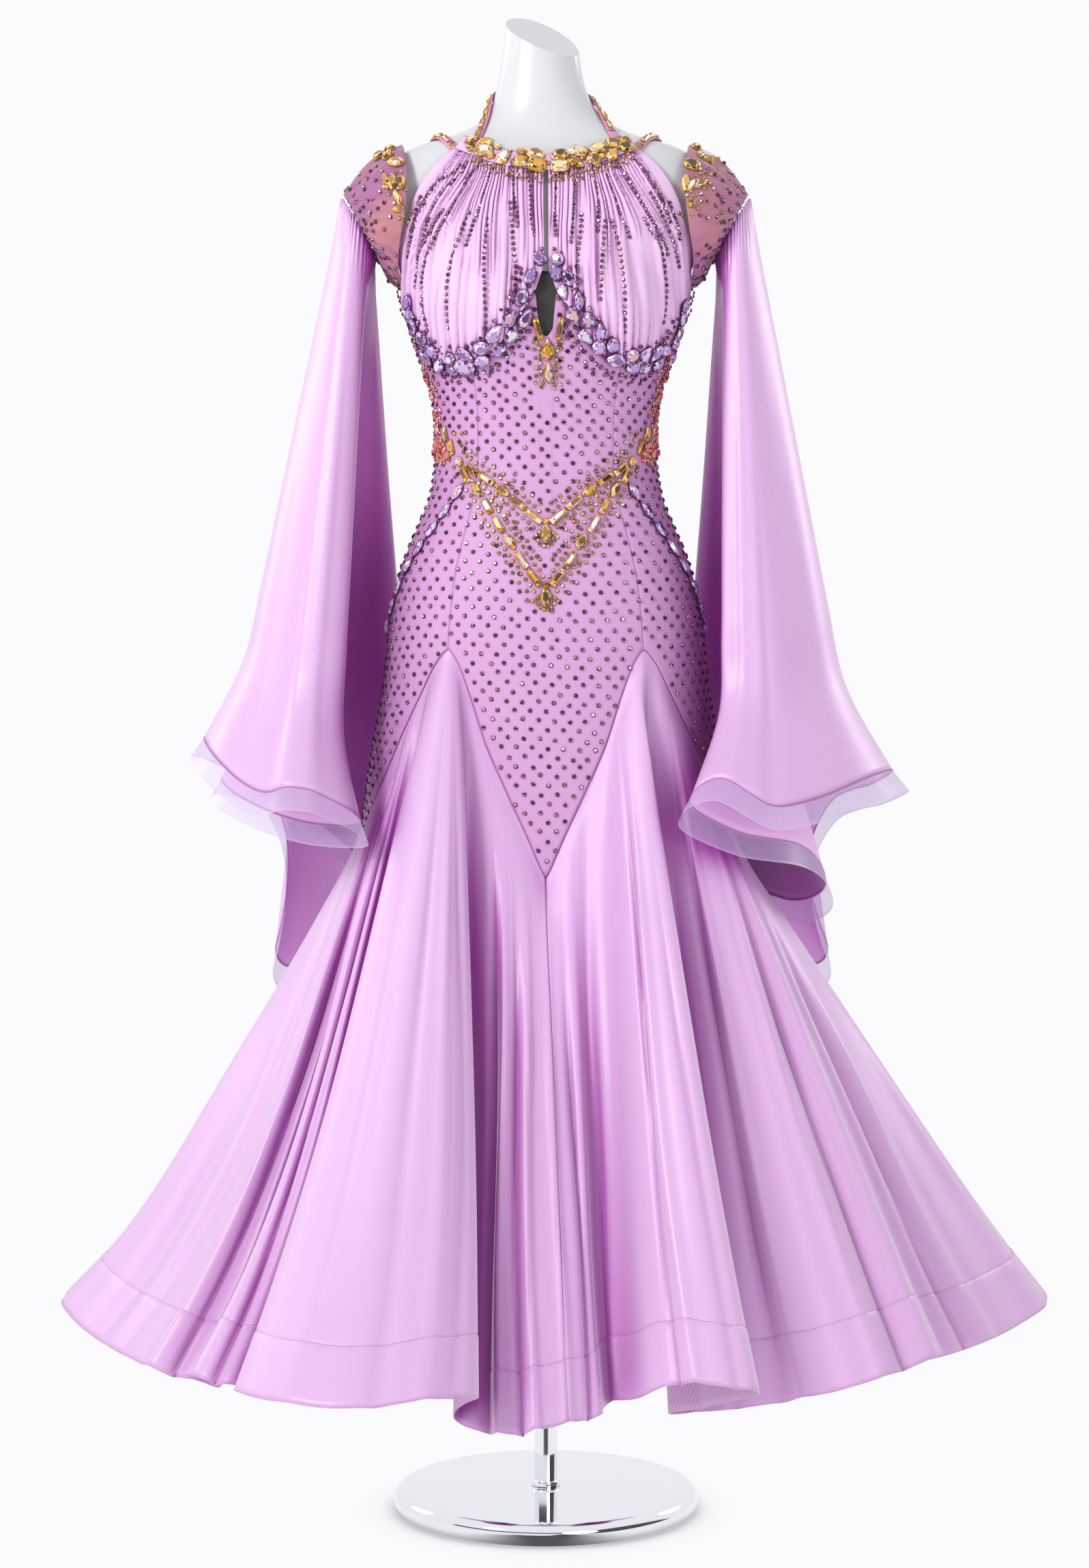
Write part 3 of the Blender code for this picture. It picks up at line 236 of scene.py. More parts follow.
FOLD_POWER = 0.92
FOLD_SPREAD = 3.2  # rows of folds over which the plain flared ring is averaged

# A bell sleeve's rows: the turn on the seam with the cap, from the outside forwards, and the hem.
SleeveRow = namedtuple("SleeveRow", "name turn x y z")
SLEEVE_RIGHT = [
    SleeveRow("outer", 0, 0.357, -0.030, 0.769),
    SleeveRow("outer_front", 25, 0.307, -0.125, 0.757),
    SleeveRow("front_trough", 50, 0.231, -0.195, 0.735),
    SleeveRow("front_rise", 70, 0.200, -0.200, 0.747),
    SleeveRow("front_crest", 90, 0.167, -0.185, 0.765),
    SleeveRow("front_edge", 115, 0.138, -0.182, 0.746),
    SleeveRow("inner_corner", 132, 0.147, -0.160, 0.730),
    SleeveRow("near_inner", 148, 0.196, -0.138, 0.707),
    SleeveRow("near_middle", 162, 0.250, -0.086, 0.696),
    SleeveRow("near_curl", 174, 0.280, -0.020, 0.673),
    SleeveRow("curl_low", 186, 0.290, 0.040, 0.640),
    SleeveRow("curl_inside", 200, 0.262, 0.090, 0.622),
    SleeveRow("back_turn", 216, 0.200, 0.150, 0.640),
    SleeveRow("back_inner", 232, 0.124, 0.222, 0.606),
    SleeveRow("back_low", 252, 0.200, 0.272, 0.552),
    SleeveRow("back_tip", 276, 0.318, 0.266, 0.538),
    SleeveRow("far_fold", 294, 0.300, 0.216, 0.588),
    SleeveRow("far_middle", 308, 0.280, 0.160, 0.672),
    SleeveRow("far_high", 326, 0.304, 0.110, 0.734),
    SleeveRow("far_outer", 344, 0.338, 0.044, 0.748),
]
SLEEVE_LEFT = [
    SleeveRow("outer", 0, 0.351, -0.020, 0.801),
    SleeveRow("outer_front", 25, 0.324, -0.100, 0.775),
    SleeveRow("front_trough", 50, 0.280, -0.165, 0.748),
    SleeveRow("front_crest", 70, 0.253, -0.185, 0.756),
    SleeveRow("front_middle", 90, 0.219, -0.182, 0.747),
    SleeveRow("front_edge", 115, 0.180, -0.156, 0.724),
    SleeveRow("inner_corner", 132, 0.188, -0.126, 0.714),
    SleeveRow("near_inner", 148, 0.238, -0.092, 0.716),
    SleeveRow("near_middle", 162, 0.288, -0.032, 0.727),
    SleeveRow("near_outer", 174, 0.328, 0.010, 0.746),
    SleeveRow("near_curl", 186, 0.337, 0.047, 0.758),
    SleeveRow("curl_inside", 200, 0.285, 0.075, 0.745),
    SleeveRow("back_turn", 216, 0.205, 0.142, 0.670),
    SleeveRow("back_inner", 232, 0.124, 0.222, 0.606),
    SleeveRow("back_low", 252, 0.195, 0.268, 0.550),
    SleeveRow("back_tip", 276, 0.302, 0.262, 0.536),
    SleeveRow("far_fold", 294, 0.290, 0.212, 0.585),
    SleeveRow("far_middle", 308, 0.276, 0.156, 0.690),
    SleeveRow("far_high", 326, 0.308, 0.118, 0.764),
    SleeveRow("far_outer", 344, 0.340, 0.058, 0.792),
]
SLEEVE_FLARE = 0.30  # how far the hem kicks out, as a share of its distance from the ring's middle
BACK_CALM = 0.16  # this far behind, the long back of the sleeve hangs straight
KICK_START = 0.80  # share of the sleeve's length above the flared hem
BRAID_WIDTH = 0.024  # stiff net braid on a sleeve's hem
# The bell's seam with the cap: a tilted ring, its middle and its reach to the outside, the front and up.
BELL_MIDDLE = (0.1905, 0.0, 1.3205)
BELL_REACH = (0.0175, 0.048, 0.0275)

# The sheer cap: a tube round the shoulder. Its edge at the armhole, at even turns. Right side.
CapRow = namedtuple("CapRow", "name x y z")
ARMHOLE = [
    CapRow("top", 0.1480, 0.004, 1.4030),
    CapRow("top_front", 0.1430, -0.036, 1.3930),
    CapRow("front", 0.1385, -0.068, 1.3580),
    CapRow("front_low", 0.1420, -0.080, 1.3160),
    CapRow("front_seam", 0.1480, -0.062, 1.2820),
    CapRow("under_front", 0.1474, -0.036, 1.2640),
    CapRow("under", 0.1462, 0.004, 1.2570),
    CapRow("under_back", 0.1474, 0.038, 1.2660),
    CapRow("back_seam", 0.1540, 0.066, 1.2880),
    CapRow("back_low", 0.1520, 0.082, 1.3180),
    CapRow("back", 0.1450, 0.084, 1.3580),
    CapRow("top_back", 0.1440, 0.052, 1.3930),
]
CAP_BULGE = 0.008  # how far the cap puffs out between its two seams

BASE_RADIUS = 0.158
BASE_THICKNESS = 0.024
POLE_RADIUS = 0.0119
TOUCH = 0.0003  # gap between two solids that bear on each other


def monotone(knots, values, at):
    """Smooth interpolation of values over rising knots, with no overshoot between them."""
    knots = np.asarray(knots, float)
    values = np.asarray(values, float)
    at = np.clip(np.asarray(at, float), knots[0], knots[-1])
    step = np.diff(knots)
    rise = np.diff(values) / step
    slope = np.zeros_like(values)
    same = rise[:-1] * rise[1:] > 0
    before = 2 * step[1:] + step[:-1]
    after = step[1:] + 2 * step[:-1]
    safe_a = np.where(same, rise[:-1], 1.0)
    safe_b = np.where(same, rise[1:], 1.0)
    slope[1:-1] = np.where(same, (before + after) / (before / safe_a + after / safe_b), 0.0)
    slope[0], slope[-1] = rise[0], rise[-1]
    i = np.clip(np.searchsorted(knots, at, side="right") - 1, 0, len(step) - 1)
    t = (at - knots[i]) / step[i]
    return (
        values[i] * (1 + 2 * t) * (1 - t) ** 2
        + step[i] * slope[i] * t * (1 - t) ** 2
        + values[i + 1] * t * t * (3 - 2 * t)
        + step[i] * slope[i + 1] * t * t * (t - 1)
    )


def round_curve(points, samples):
    """A closed smooth curve through the points, with that many samples between each two."""
    points = np.asarray(points, float)
    share = np.arange(samples)[:, None] / samples
    out = []
    for i in range(len(points)):
        p0, p1, p2, p3 = (points[(i + k) % len(points)] for k in (-1, 0, 1, 2))
        chord = max(np.linalg.norm(p2 - p1), 1e-9) ** 0.5
        before = max(np.linalg.norm(p1 - p0), 1e-9) ** 0.5
        after = max(np.linalg.norm(p3 - p2), 1e-9) ** 0.5
        m1 = (p2 - p1) + chord * ((p1 - p0) / before - (p2 - p0) / (before + chord))
        m2 = (p2 - p1) + chord * ((p3 - p2) / after - (p3 - p1) / (after + chord))
        t2, t3 = share**2, share**3
        out.append(
            (2 * t3 - 3 * t2 + 1) * p1
            + (t3 - 2 * t2 + share) * m1
            + (3 * t2 - 2 * t3) * p2
            + (t3 - t2) * m2
        )
    return np.concatenate(out)


def section_table(rows):
    return {key: np.array([getattr(row, key) for row in rows]) for key in Section._fields}


FORM_TABLE = section_table(FORM_SECTIONS)
FITTED_TABLE = section_table(
    YOKE_SECTIONS
    + [
        row._replace(
            half_width=row.half_width + EASE, front=row.front + EASE, back=row.back + EASE
        )
        for row in FORM_SECTIONS
        if row.z >= YOKE_TOP
    ]
)

def bust_forward(x, z):
    """How far the general bust stands forward of the plain torso."""
    across = (np.abs(x) - BUST_CUP.x) / BUST_CUP.reach_x
    up = (z - BUST_CUP.z) / BUST_CUP.reach_z
    return BUST_CUP.forward * np.exp(-(across**2) - up**2)


def on_section(table, angle, z):
    """Points of a torso table at these angles from the front, in degrees, and heights."""
    angle, z = np.broadcast_arrays(np.asarray(angle, float), np.asarray(z, float))
    width, front, back, square = (
        monotone(table["z"], table[key], z) for key in ("half_width", "front", "back", "square")
    )
    turn = np.radians(angle)
    sine, cosine = np.sin(turn), np.cos(turn)
    x = width * np.sign(sine) * np.abs(sine) ** (2 / square)
    depth = np.where(cosine > 0, front, back)
    y = -depth * np.sign(cosine) * np.abs(cosine) ** (2 / square)
    y = y - np.where(cosine > 0, bust_forward(x, z) * np.clip(cosine * 2, 0, 1), 0.0)
    return np.stack([x, y, z], axis=-1)


def angle_at(x, z):
    """The angle from the front where the fitted cloth is this far to the side."""
    width = monotone(FITTED_TABLE["z"], FITTED_TABLE["half_width"], z)
    square = monotone(FITTED_TABLE["z"], FITTED_TABLE["square"], z)
    share = np.clip(np.abs(x) / width, 0, 1) ** (square / 2)
    return np.sign(x) * np.degrees(np.arcsin(share))


def normals_of(grid, around):
    """Unit normals of a grid of points, from the differences between neighbours."""
    down = np.gradient(grid, axis=0)
    if around:
        across = (np.roll(grid, -1, axis=1) - np.roll(grid, 1, axis=1)) / 2
    else:
        across = np.gradient(grid, axis=1)
    normal = np.cross(across, down)
    size = np.linalg.norm(normal, axis=-1, keepdims=True)
    return normal / np.maximum(size, 1e-12)


def from_axis(grid):
    """Directions away from the dress's own upright axis."""
    return grid * np.array([1.0, 1.0, 0.0])


def cut_off(mesh, point, normal):
    """Removes what lies beyond a plane and closes the cut."""
    work = bmesh.new()
    work.from_mesh(mesh)
    geometry = work.verts[:] + work.edges[:] + work.faces[:]
    cut = bmesh.ops.bisect_plane(
        work, geom=geometry, plane_co=point, plane_no=normal, clear_outer=True
    )
    rim = [item for item in cut["geom_cut"] if isinstance(item, bmesh.types.BMEdge)]
    bmesh.ops.contextual_create(work, geom=rim)
    bmesh.ops.recalc_face_normals(work, faces=work.faces[:])
    work.to_mesh(mesh)
    work.free()


def seam_height(angle):
    """Height of the godets' seam at an angle from the front."""
    folded = np.abs((np.asarray(angle, float) + 180) % 360 - 180)
    return monotone([p.angle for p in GODET_SEAM], [p.z for p in GODET_SEAM], folded)


def top_edge(angle):
    """Height of the fitted body's top edge: the keyhole, the line under the bust, and the back."""
    folded = np.abs((np.asarray(angle, float) + 180) % 360 - 180)
    edge = [KEYHOLE_SIDE] + UNDERBUST
    knots = [0.0] + [float(angle_at(p.x, p.z)) for p in edge] + [90.0, 112.0, 180.0]
    heights = [KEYHOLE_BOTTOM] + [p.z for p in edge]
    heights += [UNDERBUST_SIDE_Z, BACK_TOP_Z, BACK_TOP_Z]
    return monotone(knots, heights, folded)


def seam_gap(height_at, angle, gap):
    """The height that leaves this gap square to a sloping seam."""
    slope = (height_at(angle + 2) - height_at(angle - 2)) / math.radians(4.0) / 0.14
    return gap * np.sqrt(1 + np.minimum(slope**2, 16.0))


def edge_in_angles(points, count):
    """A list of edge points as angles and heights, evenly spread along the edge."""
    x, z = np.array([p.x for p in points]), np.array([p.z for p in points])
    along = np.concatenate([[0], np.cumsum(np.hypot(np.diff(x), np.diff(z)))])
    at = np.linspace(0, along[-1], count)
    xs, zs = monotone(along, x, at), monotone(along, z, at)
    return np.stack([angle_at(xs, zs), zs], axis=-1)


def coons(top, bottom, inner, outer):
    """A patch of (angle, height) pairs between four edges that meet at their corners."""
    rows, cols = len(inner), len(top)
    u = np.linspace(0, 1, cols)[None, :, None]
    v = np.linspace(0, 1, rows)[:, None, None]
    ruled_v = top[None] * (1 - v) + bottom[None] * v
    ruled_u = inner[:, None] * (1 - u) + outer[:, None] * u
    corners = (
        top[0] * (1 - u) * (1 - v)
        + top[-1] * u * (1 - v)
        + bottom[0] * (1 - u) * v
        + bottom[-1] * u * v
    )
    return ruled_v + ruled_u - corners


def bust_patch(columns, rows):
    """Angles and heights of the right bust cup, from the slit out to the side and from top to bottom."""
    slit_top = EdgePoint(SLOT_HALF, NECKLINE[0].z)
    neckline = [slit_top] + NECKLINE[1:]
    slit = [slit_top, EdgePoint(SLOT_HALF, SLOT_BOTTOM), UNDERBUST[0]]
    top = edge_in_angles(neckline, columns)
    inner = edge_in_angles(slit, rows)
    bottom = edge_in_angles(UNDERBUST, columns)
    side_angle = 88.0
    bottom[-1] = (side_angle, UNDERBUST_SIDE_Z)
    last = columns // 6
    bottom[-last:, 0] = np.linspace(bottom[-last - 1, 0], side_angle, last + 1)[1:]
    bottom[-last:, 1] = np.linspace(bottom[-last - 1, 1], UNDERBUST_SIDE_Z, last + 1)[1:]
    outer = edge_in_angles(CUP_EDGE, rows)
    reach = rows * 2 // 3
    outer[reach:, 0] = np.linspace(outer[reach - 1, 0], side_angle, rows - reach + 1)[1:]
    outer[: reach + 1] = edge_in_angles(CUP_EDGE, reach + 1)
    low = np.linspace(0, 1, rows - reach)
    outer[reach:, 0] = outer[reach, 0] + (side_angle - outer[reach, 0]) * low
    outer[reach:, 1] = outer[reach, 1] + (UNDERBUST_SIDE_Z - outer[reach, 1]) * low
    bottom[:, 1] = top_edge(bottom[:, 0]) + 2 * TURNED_SEAM
    return coons(top, bottom, inner, outer)


def hem_ring(samples):
    """The hem's closed curve, the seam angle of each sample, and the plain flared ring inside its folds."""
    plan = np.array([(f.x, f.y, f.z) for f in HEM_FOLDS])
    hem = round_curve(plan, samples)
    rows = np.arange(len(HEM_FOLDS) + 1)
    angles = [f.angle for f in HEM_FOLDS] + [HEM_TURN]
    at = np.arange(len(hem)) / samples
    angle = monotone(rows, angles, at)
    spread = FOLD_SPREAD * samples
    reach = int(3 * spread)
    offsets = np.arange(-reach, reach + 1)
    weight = np.exp(-0.5 * (offsets / spread) ** 2)
    weight /= weight.sum()
    plain = sum(w * np.roll(hem, -k, axis=0) for w, k in zip(weight, offsets))
    plain[:, :2] *= 1.06
    return hem, angle, plain


def eased(grid, share):
    """A round grid with its turns softened, the sharpest most, and the first row left as it is."""
    reach = np.clip(np.asarray(share) * 8, 0, 1)[:, None, None]
    for _ in range(2):
        before, after = grid - np.roll(grid, 1, axis=1), np.roll(grid, -1, axis=1) - grid
        sizes = np.linalg.norm(before, axis=-1) * np.linalg.norm(after, axis=-1)
        straight = np.sum(before * after, axis=-1) / np.maximum(sizes, 1e-12)
        soften = 0.20 + 0.35 * np.clip(0.6 - straight, 0, 1)[..., None]
        grid = grid + (after - before) / 2 * soften * reach
    return grid


def skirt_surface(samples, rows):
    """The godets' middle surface: rows down from the seam to the hem, columns all the way round."""
    hem, angle, plain = hem_ring(samples)
    seam_z = seam_height(angle) - seam_gap(seam_height, angle, TURNED_SEAM)
    seam = on_section(FITTED_TABLE, angle, seam_z)
    down = np.linspace(0, 1, rows) ** 0.92
    behind = np.clip(plain[:, 1] / 0.3, 0, 1)
    even = (FLARE_LINEAR + FLARE_MORE * plain[:, 0] / 0.5 - BACK_FALL * behind)[None, :, None]
    late = (down**FLARE_POWER)[:, None, None]
    flare = even * down[:, None, None] + (1 - even) * late
    folding = (down**FOLD_POWER)[:, None, None]
    grid = seam + (plain - seam) * flare + (hem - plain) * folding
    grid[..., 2] = seam[..., 2] + (hem[..., 2] - seam[..., 2]) * down[:, None]
    return eased(grid, down), angle


def bell_turns(table, samples):
    """The turn on the bell's seam of each column of a sleeve."""
    turns = [row.turn for row in table] + [360]
    return monotone(np.arange(len(turns)), turns, np.arange(len(table) * samples) / samples)


def bell_seam(turn):
    """Points of the seam between the cap and the bell."""
    turn = np.radians(turn)
    shape = np.stack([np.cos(turn), -np.sin(turn), np.cos(turn)], axis=-1)
    return np.array(BELL_MIDDLE) + np.array(BELL_REACH) * shape


def bell_surface(table, samples, down):
    """A bell's middle surface at these shares of its length. Past 1 is the braid below the hem."""
    top = bell_seam(bell_turns(table, samples))
    hem = round_curve([(r.x, r.y, r.z) for r in table], samples)
    flare = SLEEVE_FLARE * np.clip(1 - hem[:, 1:2] / BACK_CALM, 0.1, 1)
    kick = (hem - hem.mean(axis=0)) * flare * np.array([1.0, 1.0, 0.0])
    down = np.asarray(down)[:, None, None]
    kicked = np.clip((down - KICK_START) / (1 - KICK_START), 0, None) ** 2
    return eased(top + (hem - kick - top) * down + kick * kicked, down[:, 0, 0])


def cap_surface(turns, share):
    """The sheer cap's middle surface at these shares of the way from the armhole to the bell's seam."""
    dense = round_curve([(r.x, r.y, r.z) for r in ARMHOLE], 30)
    places = np.round(np.asarray(turns) % 360 / 360 * len(dense)).astype(int) % len(dense)
    armhole, seam = dense[places], bell_seam(turns)
    share = np.asarray(share)[:, None, None]
    away = armhole + seam - armhole.mean(axis=0) - seam.mean(axis=0)
    away /= np.linalg.norm(away, axis=-1, keepdims=True)
    return armhole + (seam - armhole) * share + away * CAP_BULGE * np.sin(math.pi * share)


def fitted_line(angles, heights, lift):
    """Points of the fitted cloth at these angles and heights, moved out, and the outward normals there."""
    angles, heights = np.asarray(angles, float), np.asarray(heights, float)
    middle = on_section(FITTED_TABLE, angles, heights)
    across = on_section(FITTED_TABLE, angles + 0.5, heights) - middle
    down = on_section(FITTED_TABLE, angles, heights - 0.001) - middle
    normal = np.cross(across, down)
    normal /= np.linalg.norm(normal, axis=-1, keepdims=True)
    if np.sum(normal * from_axis(middle)) < 0:
        normal = -normal
    return middle + normal * lift, normal


def sampled(points, count):
    """x and z of a short list of edge points, read evenly along a smooth curve through them."""
    x, z = np.array([p.x for p in points]), np.array([p.z for p in points])
    along = np.concatenate([[0], np.cumsum(np.hypot(np.diff(x), np.diff(z)))])
    at = np.linspace(0, along[-1], count)
    return monotone(along, x, at), monotone(along, z, at)


def surface_tree(made):
    made.data.calc_loop_triangles()
    points = [v.co.copy() for v in made.data.vertices]
    faces = [tuple(t.vertices) for t in made.data.loop_triangles]
    return BVHTree.FromPolygons(points, faces)


def on_form(tree, points, lift, count):
    """A smooth line near the given points, laid on the form and lifted off it, with its normals."""
    points = np.asarray(points, float)
    along = np.concatenate([[0], np.cumsum(np.linalg.norm(np.diff(points, axis=0), axis=1))])
    at = np.linspace(0, along[-1], count)
    line = np.stack([monotone(along, points[:, k], at) for k in range(3)], axis=-1)
    laid, normals = [], []
    for point in line:
        place, normal, _, _ = tree.find_nearest(Vector(point))
        laid.append(place + normal * lift)
        normals.append(normal)
    laid, normals = np.array(laid), np.array(normals)
    for _ in range(3):
        normals[1:-1] = (normals[:-2] + normals[1:-1] * 2 + normals[2:]) / 4
    normals /= np.linalg.norm(normals, axis=-1, keepdims=True)
    return laid, normals


# The two pointed belts of stones: height at the middle, and where each ends at the side.
Belt = namedtuple("Belt", "name tip_z end_x end_z stones lift")
BELTS = [
    Belt("upper", 1.0115, 0.1010, 1.0885, 13, TRIM_LIFT),
    Belt("lower", 0.942, 0.0610, 1.0325, 11, 0.0014),
]

STRAP_LIFT = 0.0024  # from the form's skin to the middle of a strap
NECKBAND_WIDTH = 0.021
STRAP_WIDTH = 0.009
NECK_STRAP = [
    (-0.0700, -0.050, 1.4010),
    (-0.0600, -0.022, 1.432),
    (-0.0560, 0.000, 1.450),
    (-0.0490, 0.032, 1.462),
    (-0.0280, 0.056, 1.468),
    (0.0, 0.064, 1.470),
]
SHOULDER_STRAP = [
    (0.0870, -0.053, 1.386),
    (0.1030, -0.028, 1.402),
    (0.1150, 0.002, 1.411),
    (0.1130, 0.034, 1.406),
    (0.1040, 0.066, 1.380),
    (0.0900, 0.086, 1.330),
    (0.0790, 0.093, 1.262),
]


# From here on: how the surfaces above are made finer, dressed and lit.


def resampled(grid, at):
    """A grid read at these fractional rows of it, one list for each column, along a smooth curve."""
    rows = len(grid)
    at = np.clip(np.asarray(at, float), 0, rows - 1)
    if at.ndim == 1:
        at = np.repeat(at[:, None], grid.shape[1], axis=1)
    low = np.minimum(at.astype(int), rows - 2)
    t = (at - low)[..., None]
    padded = np.concatenate([2 * grid[:1] - grid[1:2], grid, 2 * grid[-1:] - grid[-2:-1]])
    columns = np.arange(grid.shape[1])[None, :]
    p0, p1, p2, p3 = (padded[low + k, columns] for k in range(4))
    return p1 + 0.5 * t * (
        (p2 - p0) + t * ((2 * p0 - 5 * p1 + 4 * p2 - p3) + t * (3 * p1 - p0 - 3 * p2 + p3))
    )


def widened(grid, times):
    """A round grid with this many columns for each one of it, along smooth curves."""
    turned_grid = np.concatenate([grid[:, -1:], grid, grid[:, :2]], axis=1).swapaxes(0, 1)
    at = 1 + np.arange(grid.shape[1] * times) / times
    return resampled(turned_grid, at).swapaxes(0, 1)


def lengths_along(grid, axis):
    steps = np.linalg.norm(np.diff(grid, axis=axis), axis=-1)
    start = np.zeros_like(steps[:1] if axis == 0 else steps[:, :1])
    return np.concatenate([start, np.cumsum(steps, axis=axis)], axis=axis)


def outward_normals(grid, around, centre=None):
    normal = normals_of(grid, around)
    away = from_axis(grid) if centre is None else grid - centre
    return -normal if np.sum(normal * away) < 0 else normal


def soft_step(low, high, value):
    t = np.clip((value - low) / (high - low), 0, 1)
    return t * t * (3 - 2 * t)


def mesh_object(name, points, faces, materials, slots=None, smooth=True):
    mesh = bpy.data.meshes.new(name)
    mesh.from_pydata(np.asarray(points, float).tolist(), [], faces)
    for material in materials:
        mesh.materials.append(material)
    if slots is not None:
        mesh.polygons.foreach_set("material_index", np.asarray(slots, np.int32))
    if smooth:
        mesh.shade_smooth()
    made = bpy.data.objects.new(name, mesh)
    bpy.context.scene.collection.objects.link(made)
    return made


def quads_of(rows, cols, around=False):
    spans = cols if around else cols - 1
    r, c = np.meshgrid(np.arange(rows - 1), np.arange(spans), indexing="ij")
    a, b = r * cols + c, r * cols + (c + 1) % cols
    return np.stack([a, b, b + cols, a + cols], axis=-1).reshape(-1, 4)


def faces_outward(points, quads, normal):
    """The quads, turned over if they face against the given normals of the points."""
    a, b, c = (points[quads[:, k]] for k in range(3))
    facing = np.sum(np.cross(b - a, c - a) * normal[quads[:, 0]])
    return quads[:, ::-1] if facing < 0 else quads


def cloth_sheet(name, grid, materials, around=False, thickness=CLOTH, centre=None, band=None):
    """A cloth piece from a grid of points: UVs in metres along the cloth, and an even thickness."""
    rows, cols = grid.shape[:2]
    normal = outward_normals(grid, around, centre)
    points = grid.reshape(-1, 3)
    quads = faces_outward(points, quads_of(rows, cols, around), normal.reshape(-1, 3))
    made = mesh_object(name, points, quads.tolist(), materials)
    across = lengths_along(grid, 1)
    down = lengths_along(grid, 0)
    if around:
        last = np.linalg.norm(grid[:, 0] - grid[:, -1], axis=-1)[:, None]
        across = np.concatenate([across, across[:, -1:] + last], axis=1)
        down = np.concatenate([down, down[:, :1]], axis=1)
    wide = across.shape[1]
    layer = made.data.uv_layers.new(name="cloth")
    loops = np.empty(len(made.data.loops), np.int32)
    made.data.loops.foreach_get("vertex_index", loops)
    row, col = loops // cols, loops % cols
    if around:
        high = np.repeat((quads % cols).max(axis=1) == cols - 1, 4)
        low = np.repeat((quads % cols).min(axis=1) == 0, 4)
        col = np.where(high & low & (col == 0), cols, col)
    uv = np.stack([across[row, col % wide], down[row, col % wide]], axis=-1)
    layer.data.foreach_set("uv", uv.astype(np.float32).reshape(-1))
    if band is not None:
        made.data.attributes.new("band", "FLOAT", "POINT")
        values = np.broadcast_to(band, (rows, cols)).astype(np.float32).reshape(-1)
        made.data.attributes["band"].data.foreach_set("value", values)
    if thickness:
        shell = made.modifiers.new("thickness", "SOLIDIFY")
        shell.thickness = thickness
        shell.offset = 0.0
        shell.material_offset = 1 if len(materials) > 1 else 0
    return made


def on_part(made, slot, *nodes):
    """The piece rides on the part and stands for these nodes, which are hidden. The slot is not used."""
    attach(made, "root")
    if nodes:
        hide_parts(*nodes)
    return made


def declare(made, node, slot):
    """The piece stands for its node. The slot is not used."""
    on_part(made, slot, node)


def at_length(line, length, at):
    """What a line's points, or other rows given for them, come to this far along it."""
    return np.array([np.interp(at, length, line[:, k]) for k in range(line.shape[1])])


# Materials. Colours are linear.

# A cloth's deep colour is painted shade, mixed in where ambient occlusion finds its folds and hollows.
Cloth = namedtuple("Cloth", "name colour deep roughness sheen weave")
SATIN = Cloth("satin", (0.79, 0.49, 0.82), (0.38, 0.035, 0.38), 0.31, 0.25, 0.00045)
INSIDE = Cloth("satin_inside", (0.93, 0.58, 0.94), (0.80, 0.36, 0.81), 0.60, 0.30, 0.00045)
STRETCH = Cloth("stretch_knit", (0.70, 0.375, 0.68), (0.36, 0.07, 0.34), 0.58, 0.30, 0.0008)
GATHERED = Cloth("gathered_knit", (0.90, 0.60, 0.89), (0.40, 0.06, 0.38), 0.50, 0.30, 0.0008)
STRAP = Cloth("strap_knit", (0.82, 0.36, 0.62), (0.55, 0.14, 0.36), 0.50, 0.30, 0.0008)


def new_material(name):
    made = bpy.data.materials.new(name)
    made.use_nodes = True
    tree = made.node_tree
    return made, tree, tree.nodes["Principled BSDF"]


def node(tree, kind, **settings):
    made = tree.nodes.new(kind)
    for key, value in settings.items():
        setattr(made, key, value)
    return made


def maths(tree, operation, first, second=None):
    made = node(tree, "ShaderNodeMath", operation=operation)
    for socket, value in zip(made.inputs, (first, second)):
        if value is None:
            continue
        if isinstance(value, (int, float)):
            socket.default_value = value
        else:
            tree.links.new(value, socket)
    return made.outputs[0]


def mixed(tree, factor, first, second):
    made = node(tree, "ShaderNodeMix", data_type="RGBA")
    for socket, value in ((made.inputs[0], factor), (made.inputs[6], first), (made.inputs[7], second)):
        if isinstance(value, tuple):
            socket.default_value = (*value, 1.0)
        elif isinstance(value, (int, float)):
            socket.default_value = value
        else:
            tree.links.new(value, socket)
    return made.outputs[2]


def put(made, **values):
    """Sets a shader node's inputs by their names, with _ for a space."""
    for key, value in values.items():
        made.inputs[key.replace("_", " ")].default_value = value


def separated(tree, source):
    parts = node(tree, "ShaderNodeSeparateXYZ")
    tree.links.new(source, parts.inputs[0])
    return parts.outputs


def noise(tree, scale, detail=2.0):
    """Noise from 0 to 1 that is fixed to the piece."""
    made = node(tree, "ShaderNodeTexNoise")
    put(made, Scale=scale, Detail=detail)
    place = node(tree, "ShaderNodeTexCoord")
    tree.links.new(place.outputs["Object"], made.inputs["Vector"])
    return made.outputs["Fac"]


def ranged(tree, value, low=0.0, high=1.0, start=0.0, end=1.0, kind="SMOOTHSTEP"):
    """A value's way from low to high as the same way from start to end."""
    made = node(tree, "ShaderNodeMapRange", interpolation_type=kind)
    tree.links.new(value, made.inputs[0])
    for k, number in enumerate((low, high, start, end)):
        made.inputs[k + 1].default_value = number
    return made.outputs[0]


def bump(tree, height, strength, distance):
    made = node(tree, "ShaderNodeBump")
    put(made, Strength=strength, Distance=distance)
    tree.links.new(height, made.inputs["Height"])
    return made


def patchy(tree, surface, scale, first, second):
    """A surface whose colour wanders between two."""
    tree.links.new(mixed(tree, noise(tree, scale), first, second), surface.inputs["Base Color"])


def threads(tree, size):
    """A height from 0 to 1 of a plain weave whose threads lie this far apart."""
    across, down, _ = separated(tree, node(tree, "ShaderNodeUVMap", uv_map="cloth").outputs[0])
    turn = math.pi / size
    warp = maths(tree, "SINE", maths(tree, "MULTIPLY", across, turn))
    weft = maths(tree, "SINE", maths(tree, "MULTIPLY", down, turn))
    return maths(tree, "MULTIPLY_ADD", maths(tree, "MULTIPLY", warp, weft), 0.5)


